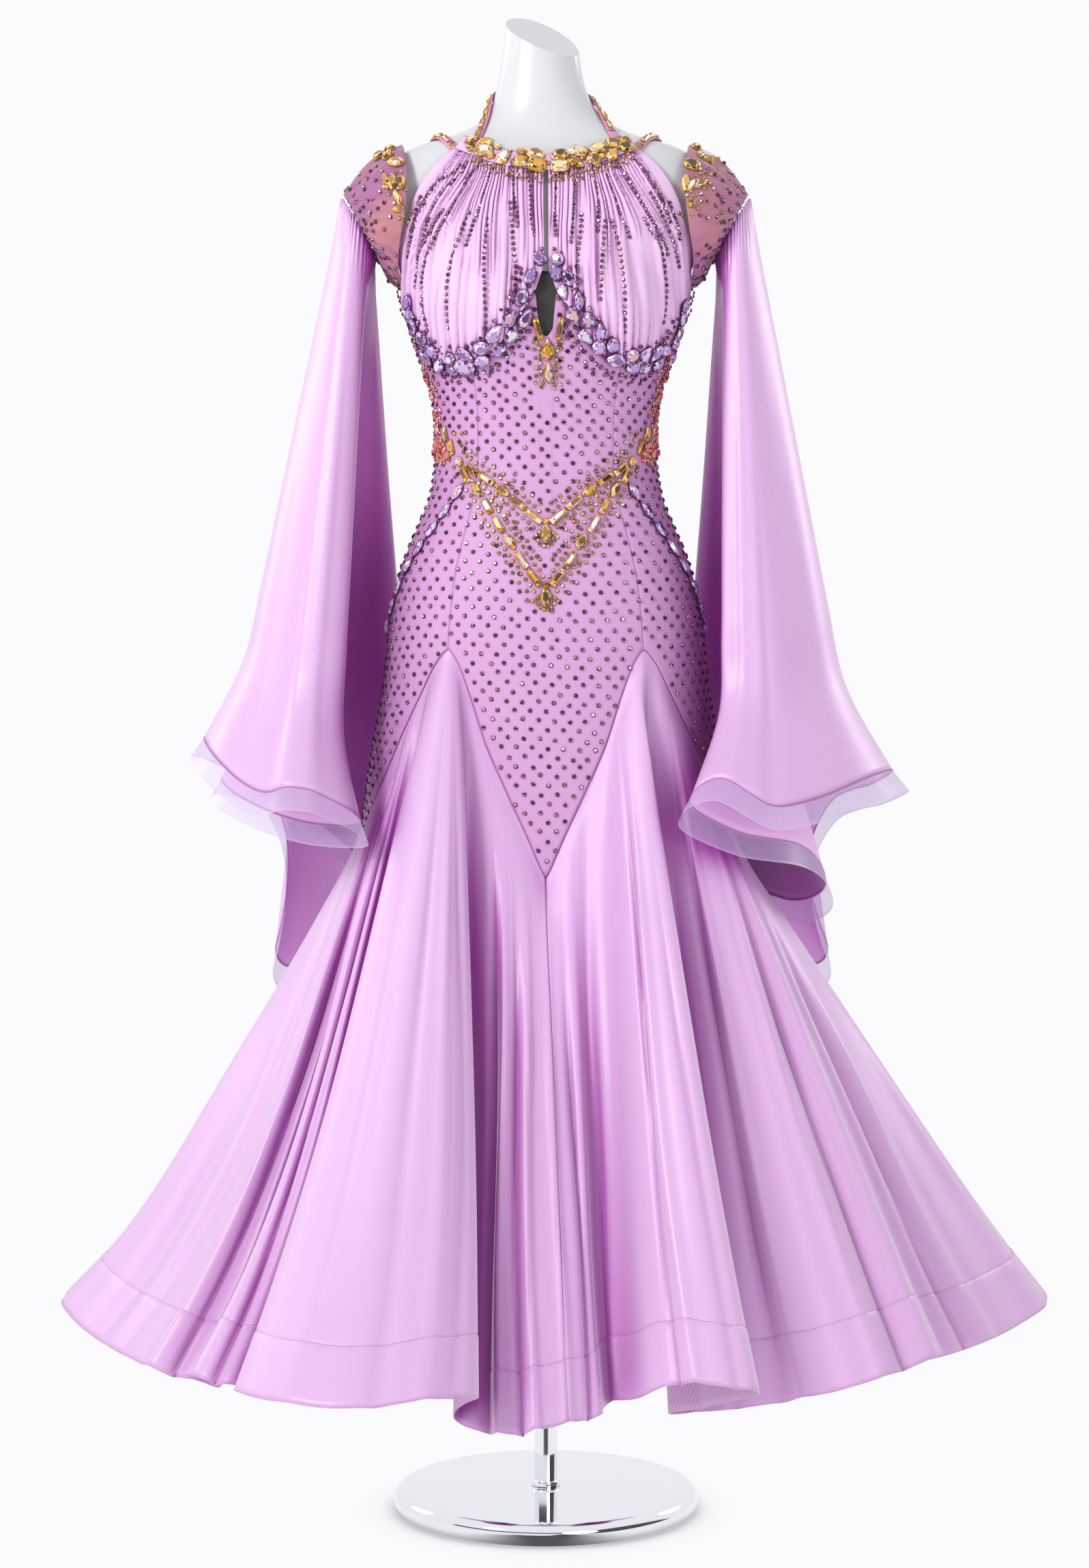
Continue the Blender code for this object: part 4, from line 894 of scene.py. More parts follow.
def shaded_folds(tree, colour, deep, reach, closed, clear):
    """The cloth's colour with painted shade: darker and richer where ambient occlusion finds folds and hollows,
    with faint patches where the dye took differently.
    """
    occlusion_shade = node(tree, "ShaderNodeAmbientOcclusion", samples=4)
    put(occlusion_shade, Distance=reach)
    patches = maths(tree, "MULTIPLY", noise(tree, 9.0), 0.22)
    lit = mixed(tree, patches, colour, tuple(c * 0.86 for c in colour))
    # Painted shade: the deep colour takes over as the occlusion falls from clear to closed.
    return mixed(tree, ranged(tree, occlusion_shade.outputs["AO"], closed, clear), deep, lit)


def cloth_material(cloth, wrinkle=0.0006, shine_across=0.0, reach=0.09, closed=0.22, clear=0.90):
    made, tree, surface = new_material(cloth.name)
    colour = shaded_folds(tree, cloth.colour, cloth.deep, reach, closed, clear)
    tree.links.new(colour, surface.inputs["Base Color"])
    put(surface, Roughness=cloth.roughness, Sheen_Weight=cloth.sheen, Sheen_Roughness=0.35,
        Sheen_Tint=(1.0, 0.86, 1.0, 1.0), Anisotropic=shine_across, Specular_IOR_Level=0.45)
    fine = bump(tree, threads(tree, cloth.weave), 0.18, cloth.weave * 0.4)
    soft = bump(tree, noise(tree, 26.0, 3.0), 0.5, wrinkle)
    tree.links.new(fine.outputs[0], soft.inputs["Normal"])
    tree.links.new(soft.outputs[0], surface.inputs["Normal"])
    return made


def faced_inside_material():
    """The satin's inside, with a band of net facing near the hem."""
    made = cloth_material(INSIDE)
    tree = made.node_tree
    base = tree.nodes["Principled BSDF"].inputs["Base Color"]
    band = node(tree, "ShaderNodeAttribute", attribute_name="band")
    net = mixed(tree, threads(tree, 0.0022), (0.62, 0.34, 0.60), (0.80, 0.60, 0.82))
    tree.links.new(mixed(tree, band.outputs["Fac"], base.links[0].from_socket, net), base)
    return made


def sheer_material():
    """Fine skin-pink mesh: see-through between its threads."""
    made, tree, surface = new_material("sheer_mesh")
    tint = ranged(tree, noise(tree, 11.0), 0.38, 0.62)
    colour = mixed(tree, tint, (0.64, 0.25, 0.28), (0.50, 0.18, 0.40))
    tree.links.new(colour, surface.inputs["Base Color"])
    put(surface, Roughness=0.6, Sheen_Weight=0.4)
    holes = ranged(tree, threads(tree, 0.0009), start=0.56, end=0.90, kind="LINEAR")
    tree.links.new(holes, surface.inputs["Alpha"])
    return made


def braid_material():
    """Stiff see-through net: lines of nylon round the hem, crossed by finer slanted ones."""
    made, tree, surface = new_material("net_braid")
    put(surface, Base_Color=(0.74, 0.60, 0.88, 1.0), Roughness=0.30)
    around, down, _ = separated(tree, node(tree, "ShaderNodeUVMap", uv_map="cloth").outputs[0])
    lines = maths(tree, "ABSOLUTE", maths(tree, "SINE", maths(tree, "MULTIPLY", down, math.pi / 0.0016)))
    slant = maths(tree, "ADD", maths(tree, "MULTIPLY", around, math.pi / 0.0013),
                  maths(tree, "MULTIPLY", down, math.pi / 0.0021))
    crossed = maths(tree, "ABSOLUTE", maths(tree, "SINE", slant))
    net = maths(tree, "MAXIMUM", maths(tree, "POWER", lines, 6.0),
                maths(tree, "MULTIPLY", maths(tree, "POWER", crossed, 8.0), 0.6))
    edge = node(tree, "ShaderNodeAttribute", attribute_name="band")
    whole = maths(tree, "MAXIMUM", net, edge.outputs["Fac"])
    tree.links.new(ranged(tree, whole, start=0.30, end=0.72, kind="LINEAR"), surface.inputs["Alpha"])
    return made


# Each ramp paints a cut stone's light: its darkest marks are painted shade on facets that catch no light, its
# white and near-white marks are painted glints, and the coral mark among the violets and the copper one among
# the plums are painted reflections.
Gemstone = namedtuple("Gemstone", "name ramp metallic coat")
GOLD = Gemstone("gold_stones", [
    (0.0, (0.05, 0.02, 0.003)), (0.22, (0.26, 0.11, 0.010)), (0.38, (0.74, 0.33, 0.025)),
    (0.58, (0.98, 0.54, 0.06)), (0.76, (1.0, 0.78, 0.28)), (0.88, (0.62, 0.58, 0.62)),
    (1.0, (1.0, 1.0, 0.94))], 0.30, 1.0)
VIOLET = Gemstone("violet_stones", [
    (0.0, (0.07, 0.03, 0.12)), (0.20, (0.25, 0.11, 0.38)), (0.42, (0.50, 0.30, 0.72)),
    (0.60, (0.70, 0.54, 0.86)), (0.76, (0.80, 0.72, 0.92)), (0.84, (0.78, 0.36, 0.24)),
    (0.90, (0.94, 0.90, 1.0)), (1.0, (1.0, 1.0, 1.0))], 0.30, 1.0)
PLUM = Gemstone("plum_stones", [
    (0.0, (0.012, 0.004, 0.010)), (0.35, (0.06, 0.015, 0.05)), (0.58, (0.20, 0.04, 0.16)),
    (0.74, (0.40, 0.12, 0.30)), (0.84, (0.45, 0.20, 0.10)), (0.92, (0.70, 0.48, 0.60)),
    (1.0, (1.0, 0.96, 0.98))], 0.30, 0.35)
SPARK = Gemstone("golden_small_stones", [
    (0.0, (0.07, 0.035, 0.006)), (0.3, (0.30, 0.16, 0.025)), (0.52, (0.74, 0.42, 0.07)),
    (0.70, (0.20, 0.25, 0.17)), (0.84, (0.92, 0.66, 0.26)), (1.0, (1.0, 1.0, 0.92))], 0.30, 0.35)
CORAL = Gemstone("coral_stones", [
    (0.0, (0.30, 0.02, 0.06)), (0.3, (0.72, 0.08, 0.12)), (0.55, (0.95, 0.24, 0.16)),
    (0.78, (0.98, 0.55, 0.28)), (1.0, (1.0, 0.92, 0.80))], 0.30, 0.6)


def gem_material(gem):
    """Foil-backed glass with painted light: each facet's tone picks its colour from the stone's ramp, from dark
    facets to painted glints.
    """
    made, tree, surface = new_material(gem.name)
    tone = node(tree, "ShaderNodeAttribute", attribute_name="tone")
    ramp = node(tree, "ShaderNodeValToRGB")
    marks = ramp.color_ramp.elements
    marks[0].position, marks[0].color = gem.ramp[0][0], (*gem.ramp[0][1], 1.0)
    marks[1].position, marks[1].color = gem.ramp[-1][0], (*gem.ramp[-1][1], 1.0)
    for place, colour in gem.ramp[1:-1]:
        mark = marks.new(place)
        mark.color = (*colour, 1.0)
    tree.links.new(tone.outputs["Fac"], ramp.inputs[0])
    tree.links.new(ramp.outputs[0], surface.inputs["Base Color"])
    put(surface, Metallic=gem.metallic, Roughness=0.10 if gem.coat > 0.5 else 0.20,
        Coat_Weight=gem.coat, Coat_Roughness=0.02, IOR=1.6)
    return made


def setting_material(name, colour):
    """The metal round each large stone, its brightness uneven."""
    made, tree, surface = new_material(name)
    patchy(tree, surface, 260.0, colour, tuple(c * 0.55 for c in colour))
    put(surface, Metallic=0.8, Roughness=0.28)
    return made


def lacquer_material():
    made, tree, surface = new_material("form_lacquer")
    patchy(tree, surface, 5.0, (0.70, 0.71, 0.73), (0.74, 0.75, 0.77))
    put(surface, Roughness=0.30, Coat_Weight=0.7, Coat_Roughness=0.12)
    return made


def chrome_material():
    made, tree, surface = new_material("chrome")
    smears = ranged(tree, noise(tree, 30.0), start=0.03, end=0.07, kind="LINEAR")
    tree.links.new(smears, surface.inputs["Roughness"])
    put(surface, Base_Color=(0.86, 0.87, 0.89, 1.0), Metallic=1.0)
    return made


def stitch_material():
    made, tree, surface = new_material("sewing_thread")
    patchy(tree, surface, 900.0, (0.42, 0.15, 0.44), (0.60, 0.28, 0.62))
    put(surface, Roughness=0.6)
    return made


def keyhole_shade_material():
    """Painted shade for the keyhole: a near-black mesh that darkens the form seen through it."""
    made, tree, surface = new_material("keyhole_shade_sheet")
    colour = mixed(tree, threads(tree, 0.0007), (0.022, 0.021, 0.018), (0.045, 0.042, 0.036))
    tree.links.new(colour, surface.inputs["Base Color"])
    put(surface, Roughness=0.7)
    return made


# The camera that the photograph was taken with, found from the dress's known sizes.
CAMERA_PLACE = (0.0, -3.3, 0.872)
CAMERA_TILT = 2.105  # degrees down from level
FOCAL_PIXELS, PHOTO_WIDTH, PHOTO_HEIGHT = 4706.0, 1596, 2298
MIDDLE_PIXEL = 800.0  # the photo's column where the dress's own axis lies
SENSOR = 36.0
PIXELS_PER_METRE = 1426.0
KEYHOLE_COLUMN = 803  # the pixel column of the keyhole's middle
NECK_COLUMN = 802  # the same of the neckband's
FARTHEST_CLOTH = 3.4  # from the camera, in metres: what lies beyond isn't the front of the dress


class Cover:
    """The outer faces of the cloth, onto which a place in the photograph is followed by a ray."""

    def __init__(self):
        self.points, self.faces, self.count = [], [], 0
        self.tree = None

    def add(self, grid, normal, around=False):
        rows, cols = grid.shape[:2]
        self.points.append((grid + normal * CLOTH / 2).reshape(-1, 3))
        self.faces.append(quads_of(rows, cols, around) + self.count)
        self.count += rows * cols
        self.tree = None

    def seen(self, column, row):
        """The point of the cloth that this pixel of the photograph shows, and the way it faces."""
        if self.tree is None:
            points, faces = np.concatenate(self.points), np.concatenate(self.faces)
            self.tree = BVHTree.FromPolygons(points.tolist(), faces.tolist())
        tilt = math.radians(CAMERA_TILT)
        across, rise = (column - MIDDLE_PIXEL) / FOCAL_PIXELS, (PHOTO_HEIGHT / 2 - row) / FOCAL_PIXELS
        way = Vector((
            across,
            math.cos(tilt) + rise * math.sin(tilt),
            rise * math.cos(tilt) - math.sin(tilt),
        )).normalized()
        place, normal, _, _ = self.tree.ray_cast(Vector(CAMERA_PLACE), way)
        if place is None or (place - Vector(CAMERA_PLACE)).length > FARTHEST_CLOTH:
            return None
        if normal.dot(way) > 0:
            normal = -normal
        return np.array(place), np.array(normal)

    def seat(self, column, row, reach):
        """A resting place for a stone this large: over the highest cloth below it, square to it."""
        middle = self.seen(column, row)
        if middle is None:
            return None
        step = reach * 0.32 * PIXELS_PER_METRE
        sides = ((1, 0), (-1, 0), (0, 1), (0, -1))
        beside = [self.seen(column + dx * step, row + dy * step) for dx, dy in sides]
        beside = [b for b in beside if b is not None and np.linalg.norm(b[0] - middle[0]) < reach]
        normal = middle[1] + sum((b[1] for b in beside), np.zeros(3))
        normal /= np.linalg.norm(normal)
        lift = max([0.0] + [float(np.dot(b[0] - middle[0], normal)) for b in beside])
        return middle[0] + normal * min(lift * 0.7, 0.004), normal


COVER = Cover()


# Stones. Each kind is one small cut shape, set many times over in a single mesh.


def outline_of(kind, sides):
    """The girdle of a cut stone, its length and its width running from -1 to 1."""
    if kind == "baguette":
        half = [(1, -0.72), (1, 0.72), (0.9, 1), (-0.9, 1)]
        return np.array(half + [(-x, -y) for x, y in half])
    turn = np.arange(sides) * 2 * math.pi / sides
    x, y = np.cos(turn), np.sin(turn)
    if kind == "marquise":
        y = y * np.abs(y) ** 0.55
    elif kind == "drop":
        y = y * (0.5 - 0.5 * x) ** 0.45 * 1.22
    elif kind == "square":
        x, y = (np.sign(v) * np.abs(v) ** 0.6 for v in (x, y))
    return np.stack([x, y], axis=-1)


def ring_faces(first, second, sides):
    """Triangles between two rings of points, the second one turned by half a step."""
    faces = []
    for k in range(sides):
        after = (k + 1) % sides
        faces.append((first + k, first + after, second + k))
        faces.append((first + after, second + after, second + k))
    return faces


def small_stone():
    """A flat-backed round stone: a dark rim, a skirt of facets and a table."""
    sides = 8
    rim = outline_of("round", sides)
    table = (rim + np.roll(rim, -1, axis=0)) / 2 * 0.56
    rings = ((rim, 0.0), (rim * 0.93, 0.36), (table, 0.90))
    points = [(x, y, z) for ring, z in rings for x, y in ring]
    faces = [(k, (k + 1) % sides, sides + (k + 1) % sides, sides + k) for k in range(sides)]
    faces += ring_faces(sides, 2 * sides, sides) + [tuple(range(2 * sides, 3 * sides))]
    return np.array(points), faces, [2] * sides + [1] * (len(faces) - sides)


def large_stone(kind, sides=10):
    """A cut stone in a thin setting: lip, crown facets in two tiers, and a table."""
    rim = outline_of(kind, sides)
    sides = len(rim)
    half = (rim + np.roll(rim, -1, axis=0)) / 2
    tiers = [(rim * 1.07, 0.0), (rim * 1.04, 0.30), (rim * 0.99, 0.34), (half * 0.80, 0.74),
             (rim * 0.52, 1.0)]
    points = [(x, y, z) for ring, z in tiers for x, y in ring]
    faces, slots = [], []
    for k in range(2):
        for i in range(sides):
            after = (i + 1) % sides
            low, high = k * sides, (k + 1) * sides
            faces.append((low + i, low + after, high + after, high + i))
            slots.append(0)
    faces += ring_faces(2 * sides, 3 * sides, sides)
    for k in range(sides):
        after = (k + 1) % sides
        faces.append((3 * sides + k, 3 * sides + after, 4 * sides + after))
        faces.append((3 * sides + k, 4 * sides + after, 4 * sides + k))
    faces.append(tuple(range(4 * sides, 5 * sides)))
    slots += [1] * (len(faces) - len(slots))
    return np.array(points), faces, slots


SHAPES = {kind: large_stone(kind) for kind in ("oval", "drop", "marquise", "baguette", "square")}
SHAPES["round"] = small_stone()
GIRDLE_LIFT = 0.0003  # from the cloth's outer face to a stone's flat back


class Jewels:
    """Many stones gathered into one mesh."""

    def __init__(self, seed):
        self.points, self.faces, self.slots, self.tones = [], [], [], []
        self.count = 0
        self.random = np.random.default_rng(seed)

    def add(self, kind, place, normal, along, length, width, height, stone=1, bright=0.0):
        """One stone. Place is on the cloth, along is the way its length lies, stone its material slot."""
        shape, faces, slots = SHAPES[kind]
        normal = normal / np.linalg.norm(normal)
        normal = normal + self.random.normal(0, 0.055 if kind == "round" else 0.03, 3)
        normal = normal / np.linalg.norm(normal)
        along = along - normal * np.dot(along, normal)
        along = along / np.linalg.norm(along)
        across = np.cross(normal, along)
        sized = shape * np.array([length / 2, width / 2, height])
        self.points.append(place + normal * GIRDLE_LIFT + sized @ np.stack([along, across, normal]))
        self.faces += [tuple(self.count + i for i in face) for face in faces]
        self.count += len(shape)
        # Painted light on the facets: each takes a random tone on its stone's ramp, from dark facets to painted
        # glints, shifted for the whole stone; a small stone's rim takes only the darkest part.
        spread = 0.10 if kind == "round" else 0.22
        own = self.random.uniform(-spread, spread) + bright
        drawn = self.random.uniform(0, 1, len(faces))
        for face, slot, glint in zip(faces, slots, drawn):
            self.slots.append(0 if slot == 0 else stone)
            self.tones.append(glint * 0.30 if slot == 2 else min(max(glint + own, 0.0), 1.0))

    def small(self, place, normal, size, height=None, stone=2, bright=0.0):
        """One small round stone, by its diameter."""
        self.add("round", place, normal, UP, size, size, height or size * 0.42, stone, bright)

    def seen(self, column, row, size, height=None, stone=2):
        """One small round stone at this pixel of the photograph, if it lies on cloth."""
        found = COVER.seen(column, row)
        if found is not None:
            self.small(*found, size, height, stone)

    def build(self, name, materials, paints, *nodes, slot="plum_stones"):
        """The mesh of all stones. Its first material is the settings', the others are the stones'."""
        paints = [materials[paint] for paint in paints]
        made = mesh_object(name, np.concatenate(self.points), self.faces, paints, self.slots, smooth=False)
        made.data.attributes.new("tone", "FLOAT", "FACE")
        made.data.attributes["tone"].data.foreach_set("value", np.array(self.tones, np.float32))
        on_part(made, slot, *nodes)


def on_front(x, z, lift):
    """A point of the fitted cloth this far to the side and this high, moved out, and its normal."""
    return fitted_line(angle_at(x, z), z, lift)


OUTER = CLOTH / 2  # from a sheet's middle to its outer face
UP = np.array([0.0, 0.0, 1.0])
SMALL = 0.0048  # a small stone's diameter
SIDES = (("right", 1.0), ("left", -1.0))
GOLDEN = ("brass", "gold", "spark")
VIOLETS = ("shade_dark_foil", "violet", "plum")
PLUMS = ("shade_dark_foil", "plum")


# The fitted body.

PANELS = [("body_front", FRONT_COLUMNS, 1.0)] + [
    (f"body_{part}_{name}", columns, side)
    for part, columns in (("side", SIDE_COLUMNS), ("back", BACK_COLUMNS))
    for name, side in (("left", -1.0), ("right", 1.0))
]
SEAM_ROLL = 0.0005  # how far a panel's edge turns in at its seams


def panel_grid(columns, side, wide, rows):
    start, end = columns[0], columns[-1]
    angle = np.linspace(start, end, wide)
    top = top_edge(angle) - SEAM / 2
    bottom = seam_height(angle)
    height = top + (bottom - top) * np.linspace(0, 1, rows)[:, None]
    grid = on_section(FITTED_TABLE, side * angle, height)
    normal = outward_normals(grid, False)
    edge = np.minimum(np.abs(angle - start), np.abs(angle - end))
    roll = np.exp(-((edge / 0.7) ** 2)) * SEAM_ROLL
    return grid - normal * roll[None, :, None]


def body_panels(materials):
    for name, columns, side in PANELS:
        span = columns[-1] - columns[0]
        grid = panel_grid(columns, side, int(span * 1.2) + 8, 60)
        piece = cloth_sheet(name + "_cloth", grid, [materials["stretch"]])
        COVER.add(grid, outward_normals(grid, False))
        declare(piece, name, "stretch_knit")


STONE_ACROSS = 0.0159  # between two stones of a row
BELT_CLEAR = 0.0085


def belt_line(belt, x):
    """Height of a belt of stones this far to the side."""
    return belt.tip_z + (belt.end_z - belt.tip_z) * np.abs(x) / belt.end_x


def scattered_body(materials):
    """The slanted lattice of small plum stones over the whole fitted body."""
    jewels = {name: Jewels(11 + k) for k, (name, _, _) in enumerate(PANELS)}
    dense = np.arange(-1800, 1801) / 10
    rows = [BACK_TOP_Z - 0.008]
    while rows[-1] > 0.670:
        rows.append(rows[-1] - 0.0072 - 0.0021 * soft_step(1.16, 1.02, rows[-1]))
    random = np.random.default_rng(5)
    for row, z in enumerate(rows):
        ring = on_section(FITTED_TABLE, dense, z)
        girth = np.concatenate([[0], np.cumsum(np.linalg.norm(np.diff(ring, axis=0), axis=1))])
        girth -= girth[1800]
        half = int(girth[-1] / STONE_ACROSS)
        for step in range(-half, half + 1):
            at = (step + (row % 2) / 2) * STONE_ACROSS + random.normal(0, 0.0007)
            at += 0.003 * math.sin(19 * z + 9 * at)
            angle = float(np.interp(at, girth, dense))
            high = z + random.normal(0, 0.0007) + 0.003 * math.sin(23 * at + 11 * z)
            if high > top_edge(angle) - 0.007 or high < seam_height(angle) + 0.005:
                continue
            x = float(np.interp(at, girth, ring[:, 0]))
            if abs(angle) < 90 and near_trim(x, high):
                continue
            place, normal = fitted_line(angle, high, OUTER)
            around = abs((angle + 180) % 360 - 180)
            part = "body_front" if around < 35 else "body_side_" if around < 143 else "body_back_"
            name = part if part == "body_front" else part + ("right" if angle > 0 else "left")
            jewels[name].small(place, normal, SMALL, stone=1)
    for name, group in jewels.items():
        group.build(name.replace("body", "stones"), materials, PLUMS)


def near_trim(x, z):
    """Whether a small stone here would lie under one of the trims of large stones."""
    for belt, end in ((BELTS[0], 0.112), (BELTS[1], 0.088)):
        if abs(x) < end and abs(z - belt_line(belt, x)) < BELT_CLEAR * (1.9 if belt is BELTS[1] else 1.3):
            return True
    return abs(x) < 0.010 and 1.128 < z < 1.20


# The gathered cups.

CUP_WIDE, CUP_TALL = 221, 84
# Where the lines of a cup's gathers run: at each height, how far out each of seven lines is.
FAN_SHARES = [0.0, 0.20, 0.35, 0.47, 0.68, 0.85, 1.0]
FAN = [
    (1.400, (0.000, 0.031, 0.045, 0.053, 0.064, 0.075, 0.080)),
    (1.387, (0.000, 0.031, 0.046, 0.056, 0.068, 0.080, 0.087)),
    (1.361, (0.000, 0.031, 0.047, 0.059, 0.075, 0.098, 0.107)),
    (1.334, (0.000, 0.029, 0.051, 0.067, 0.092, 0.114, 0.125)),
    (1.308, (0.000, 0.028, 0.053, 0.072, 0.107, 0.125, 0.136)),
    (1.281, (0.000, 0.030, 0.055, 0.074, 0.114, 0.129, 0.140)),
    (1.255, (0.000, 0.031, 0.055, 0.077, 0.118, 0.132, 0.141)),
    (1.228, (0.000, 0.031, 0.055, 0.078, 0.118, 0.132, 0.142)),
    (1.202, (0.000, 0.033, 0.055, 0.078, 0.114, 0.124, 0.134)),
    (1.175, (0.000, 0.034, 0.056, 0.078, 0.108, 0.117, 0.125)),
]
TOP_GATHERS, LOW_GATHERS = 34, 24


def fan_share(x, z):
    """How far out across the gathers a point of a cup lies, from 0 at the slit to 1 at the side."""
    heights = [row[0] for row in FAN][::-1]
    lines = np.array([row[1] for row in FAN])[::-1]
    at = np.stack([np.interp(z, heights, lines[:, k]) for k in range(len(FAN_SHARES))], axis=-1)
    share = np.zeros_like(x)
    for k in range(len(FAN_SHARES) - 1):
        part = np.clip((x - at[..., k]) / (at[..., k + 1] - at[..., k]), 0, 1)
        share += part * (FAN_SHARES[k + 1] - FAN_SHARES[k])
    return share


def pillows(share, height, count, random, deep, low, high, upward):
    """Soft ridges between sharp creases, each one fading out at a height of its own."""
    edges = np.linspace(0, 1, count + 1)
    edges[1:-1] += random.uniform(-0.36, 0.36, count - 1) / count
    lane = np.clip(np.searchsorted(edges, share, side="right") - 1, 0, count - 1)
    t = (share - edges[lane]) / (edges[lane + 1] - edges[lane])
    round_top = 1 - np.abs(2 * np.clip(t, 0, 1) - 1) ** 2.4
    size = random.uniform(0.55, 1.0, count)[lane] * deep
    fades = random.uniform(low, high, count)[lane]
    near = soft_step(fades, fades + (0.055 if upward else -0.055), height)
    return size * round_top * near


def cup_relief(middle, seed):
    """How far the gathers stand out: pulled in at the neckline and again under the bust."""
    random = np.random.default_rng(seed)
    x, z = np.abs(middle[..., 0]), middle[..., 2]
    share = fan_share(x, z) + 0.006 * np.sin(60 * z + 17 * x)
    relief = pillows(share, z, TOP_GATHERS, random, 0.0046, 1.190, 1.335, True)
    relief = np.maximum(relief, pillows(share, z, LOW_GATHERS, random, 0.0048, 1.215, 1.335, False))
    return relief + 0.0010 * (0.5 + 0.5 * np.sin(2 * math.pi * (share * 7 + 0.2)))


# The rows of small stones on the cups: millimetres from stone to stone, and pixels that a row runs through.
CupRow = namedtuple("CupRow", "gap pixels")
CUP_ROWS = [
    CupRow(5.4, [(776, 252), (778, 289), (779, 321), (783, 345)]),
    CupRow(5.2, [(751, 243), (752, 269), (756, 309), (760, 336)]),
    CupRow(6.4, [(748, 297), (750, 329), (753, 368), (756, 398), (755, 424), (754, 434)]),
    CupRow(6.6, [(714, 321), (710, 360), (709, 396), (710, 428), (711, 457), (712, 488)]),
    CupRow(5.4, [(721, 246), (713, 273), (703, 303), (693, 329), (683, 360)]),
    CupRow(6.6, [(687, 312), (675, 339), (664, 372), (657, 400), (654, 431), (655, 461), (658, 489)]),
    CupRow(5.4, [(707, 236), (685, 261), (673, 287), (658, 309), (647, 329), (637, 346), (628, 366),
                 (622, 388), (618, 418), (618, 447), (624, 473), (627, 491)]),
    CupRow(5.6, [(683, 238), (671, 259), (655, 273), (641, 291), (631, 313), (623, 333), (616, 360),
                 (612, 384), (610, 408), (609, 427)]),
    CupRow(5.2, [(673, 242), (667, 252), (647, 262), (634, 273), (624, 289), (618, 307)]),
    CupRow(5.4, [(649, 308), (635, 327), (626, 346), (616, 366)]),
    CupRow(5.4, [(616, 289), (608, 315), (603, 342), (600, 360), (598, 378)]),
    CupRow(5.2, [(817, 256), (814, 275), (814, 299), (814, 323), (815, 346)]),
    CupRow(5.4, [(846, 252), (843, 285), (841, 315), (838, 337), (836, 356)]),
    CupRow(6.4, [(852, 315), (852, 331), (848, 360), (845, 388), (845, 408), (845, 428)]),
    CupRow(5.4, [(869, 248), (874, 273), (877, 299), (877, 321), (877, 344)]),
    CupRow(6.6, [(887, 324), (885, 348), (883, 368), (882, 394), (881, 424), (881, 443)]),
    CupRow(5.4, [(885, 240), (890, 259), (899, 287), (907, 307), (914, 325), (921, 342), (925, 354)]),
    CupRow(6.6, [(897, 324), (905, 348), (910, 378), (913, 404), (916, 435), (916, 467), (916, 491)]),
    CupRow(5.4, [(904, 239), (917, 257), (931, 279), (942, 299), (954, 319), (964, 337), (974, 356),
                 (979, 374)]),
    CupRow(6.2, [(945, 321), (954, 337), (964, 352), (971, 374), (975, 396), (977, 424), (975, 453),
                 (971, 481)]),
    CupRow(5.2, [(928, 233), (938, 242), (952, 261), (964, 281), (974, 301), (980, 319), (985, 331)]),
    CupRow(5.4, [(954, 283), (964, 301), (972, 319), (982, 342), (989, 360), (993, 380), (996, 396)]),
    CupRow(5.4, [(981, 297), (988, 317), (994, 337), (998, 356)]),
]


def bust_grids(side):
    patch = bust_patch(CUP_WIDE, CUP_TALL)
    middle = on_section(FITTED_TABLE, side * patch[..., 0], patch[..., 1])
    normal = outward_normals(middle, False)
    relief = cup_relief(middle, 21 if side > 0 else 22)
    grid = middle + normal * (CUP_EASE + relief)[..., None]
    return grid, outward_normals(grid, False)


def bust_cups(materials):
    for name, side in SIDES:
        grid, normal = bust_grids(side)
        piece = cloth_sheet(f"bust_{name}_cloth", grid, [materials["gathered"]])
        COVER.add(grid, normal)
        declare(piece, "bust_" + name,
                "stretch_knit")


def cup_stones(materials):
    """The rows of small stones that follow the gathers."""
    jewels = {"right": Jewels(31), "left": Jewels(32)}
    for row in CUP_ROWS:
        pixels = np.array(row.pixels, float)
        along = lengths_along(pixels[:, None], 0)[:, 0]
        at = np.arange(0, along[-1], 1.0)
        found = [COVER.seen(*(monotone(along, pixels[:, k], a) for k in range(2))) for a in at]
        found = [f for f in found if f is not None]
        line, facing = (np.array([f[k] for f in found]) for k in range(2))
        length = lengths_along(line[:, None], 0)[:, 0]
        for stop in np.arange(0, length[-1], row.gap / 1000):
            place, out = (at_length(rows, length, stop) for rows in (line, facing))
            group = jewels["right" if place[0] > 0 else "left"]
            group.small(place, out, 0.0045, 0.0019, stone=1, bright=0.04)
    for name, group in jewels.items():
        group.build(f"stones_bust_{name}", materials, PLUMS)


# The skirt.

Crease = namedtuple("Crease", "angle width depth start")
SKIRT_CREASES = [
    Crease(-80, 2.2, 0.006, 0.20), Crease(-70, 2.0, -0.007, 0.30), Crease(-66, 1.4, 0.004, 0.45),
    Crease(65, 1.4, 0.005, 0.15), Crease(72, 1.6, -0.006, 0.30), Crease(80, 2.0, 0.006, 0.20),
    Crease(97, 1.8, -0.005, 0.20), Crease(105, 1.6, 0.005, 0.15), Crease(114, 1.8, -0.006, 0.25),
    Crease(124, 1.5, 0.004, 0.15), Crease(140, 1.4, 0.004, 0.10), Crease(148, 1.3, -0.004, 0.20),
    Crease(157, 1.6, 0.004, 0.15), Crease(166, 1.5, -0.004, 0.20), Crease(175, 1.4, 0.004, 0.15),
    Crease(184, 1.4, -0.004, 0.20), Crease(194, 1.6, 0.004, 0.10), Crease(202, 1.5, -0.004, 0.15),
    Crease(211, 1.6, 0.004, 0.20), Crease(219, 1.3, -0.004, 0.10), Crease(236, 1.8, 0.005, 0.20),
    Crease(246, 1.6, -0.005, 0.20), Crease(255, 1.6, 0.005, 0.15), Crease(263, 1.5, -0.005, 0.20),
]
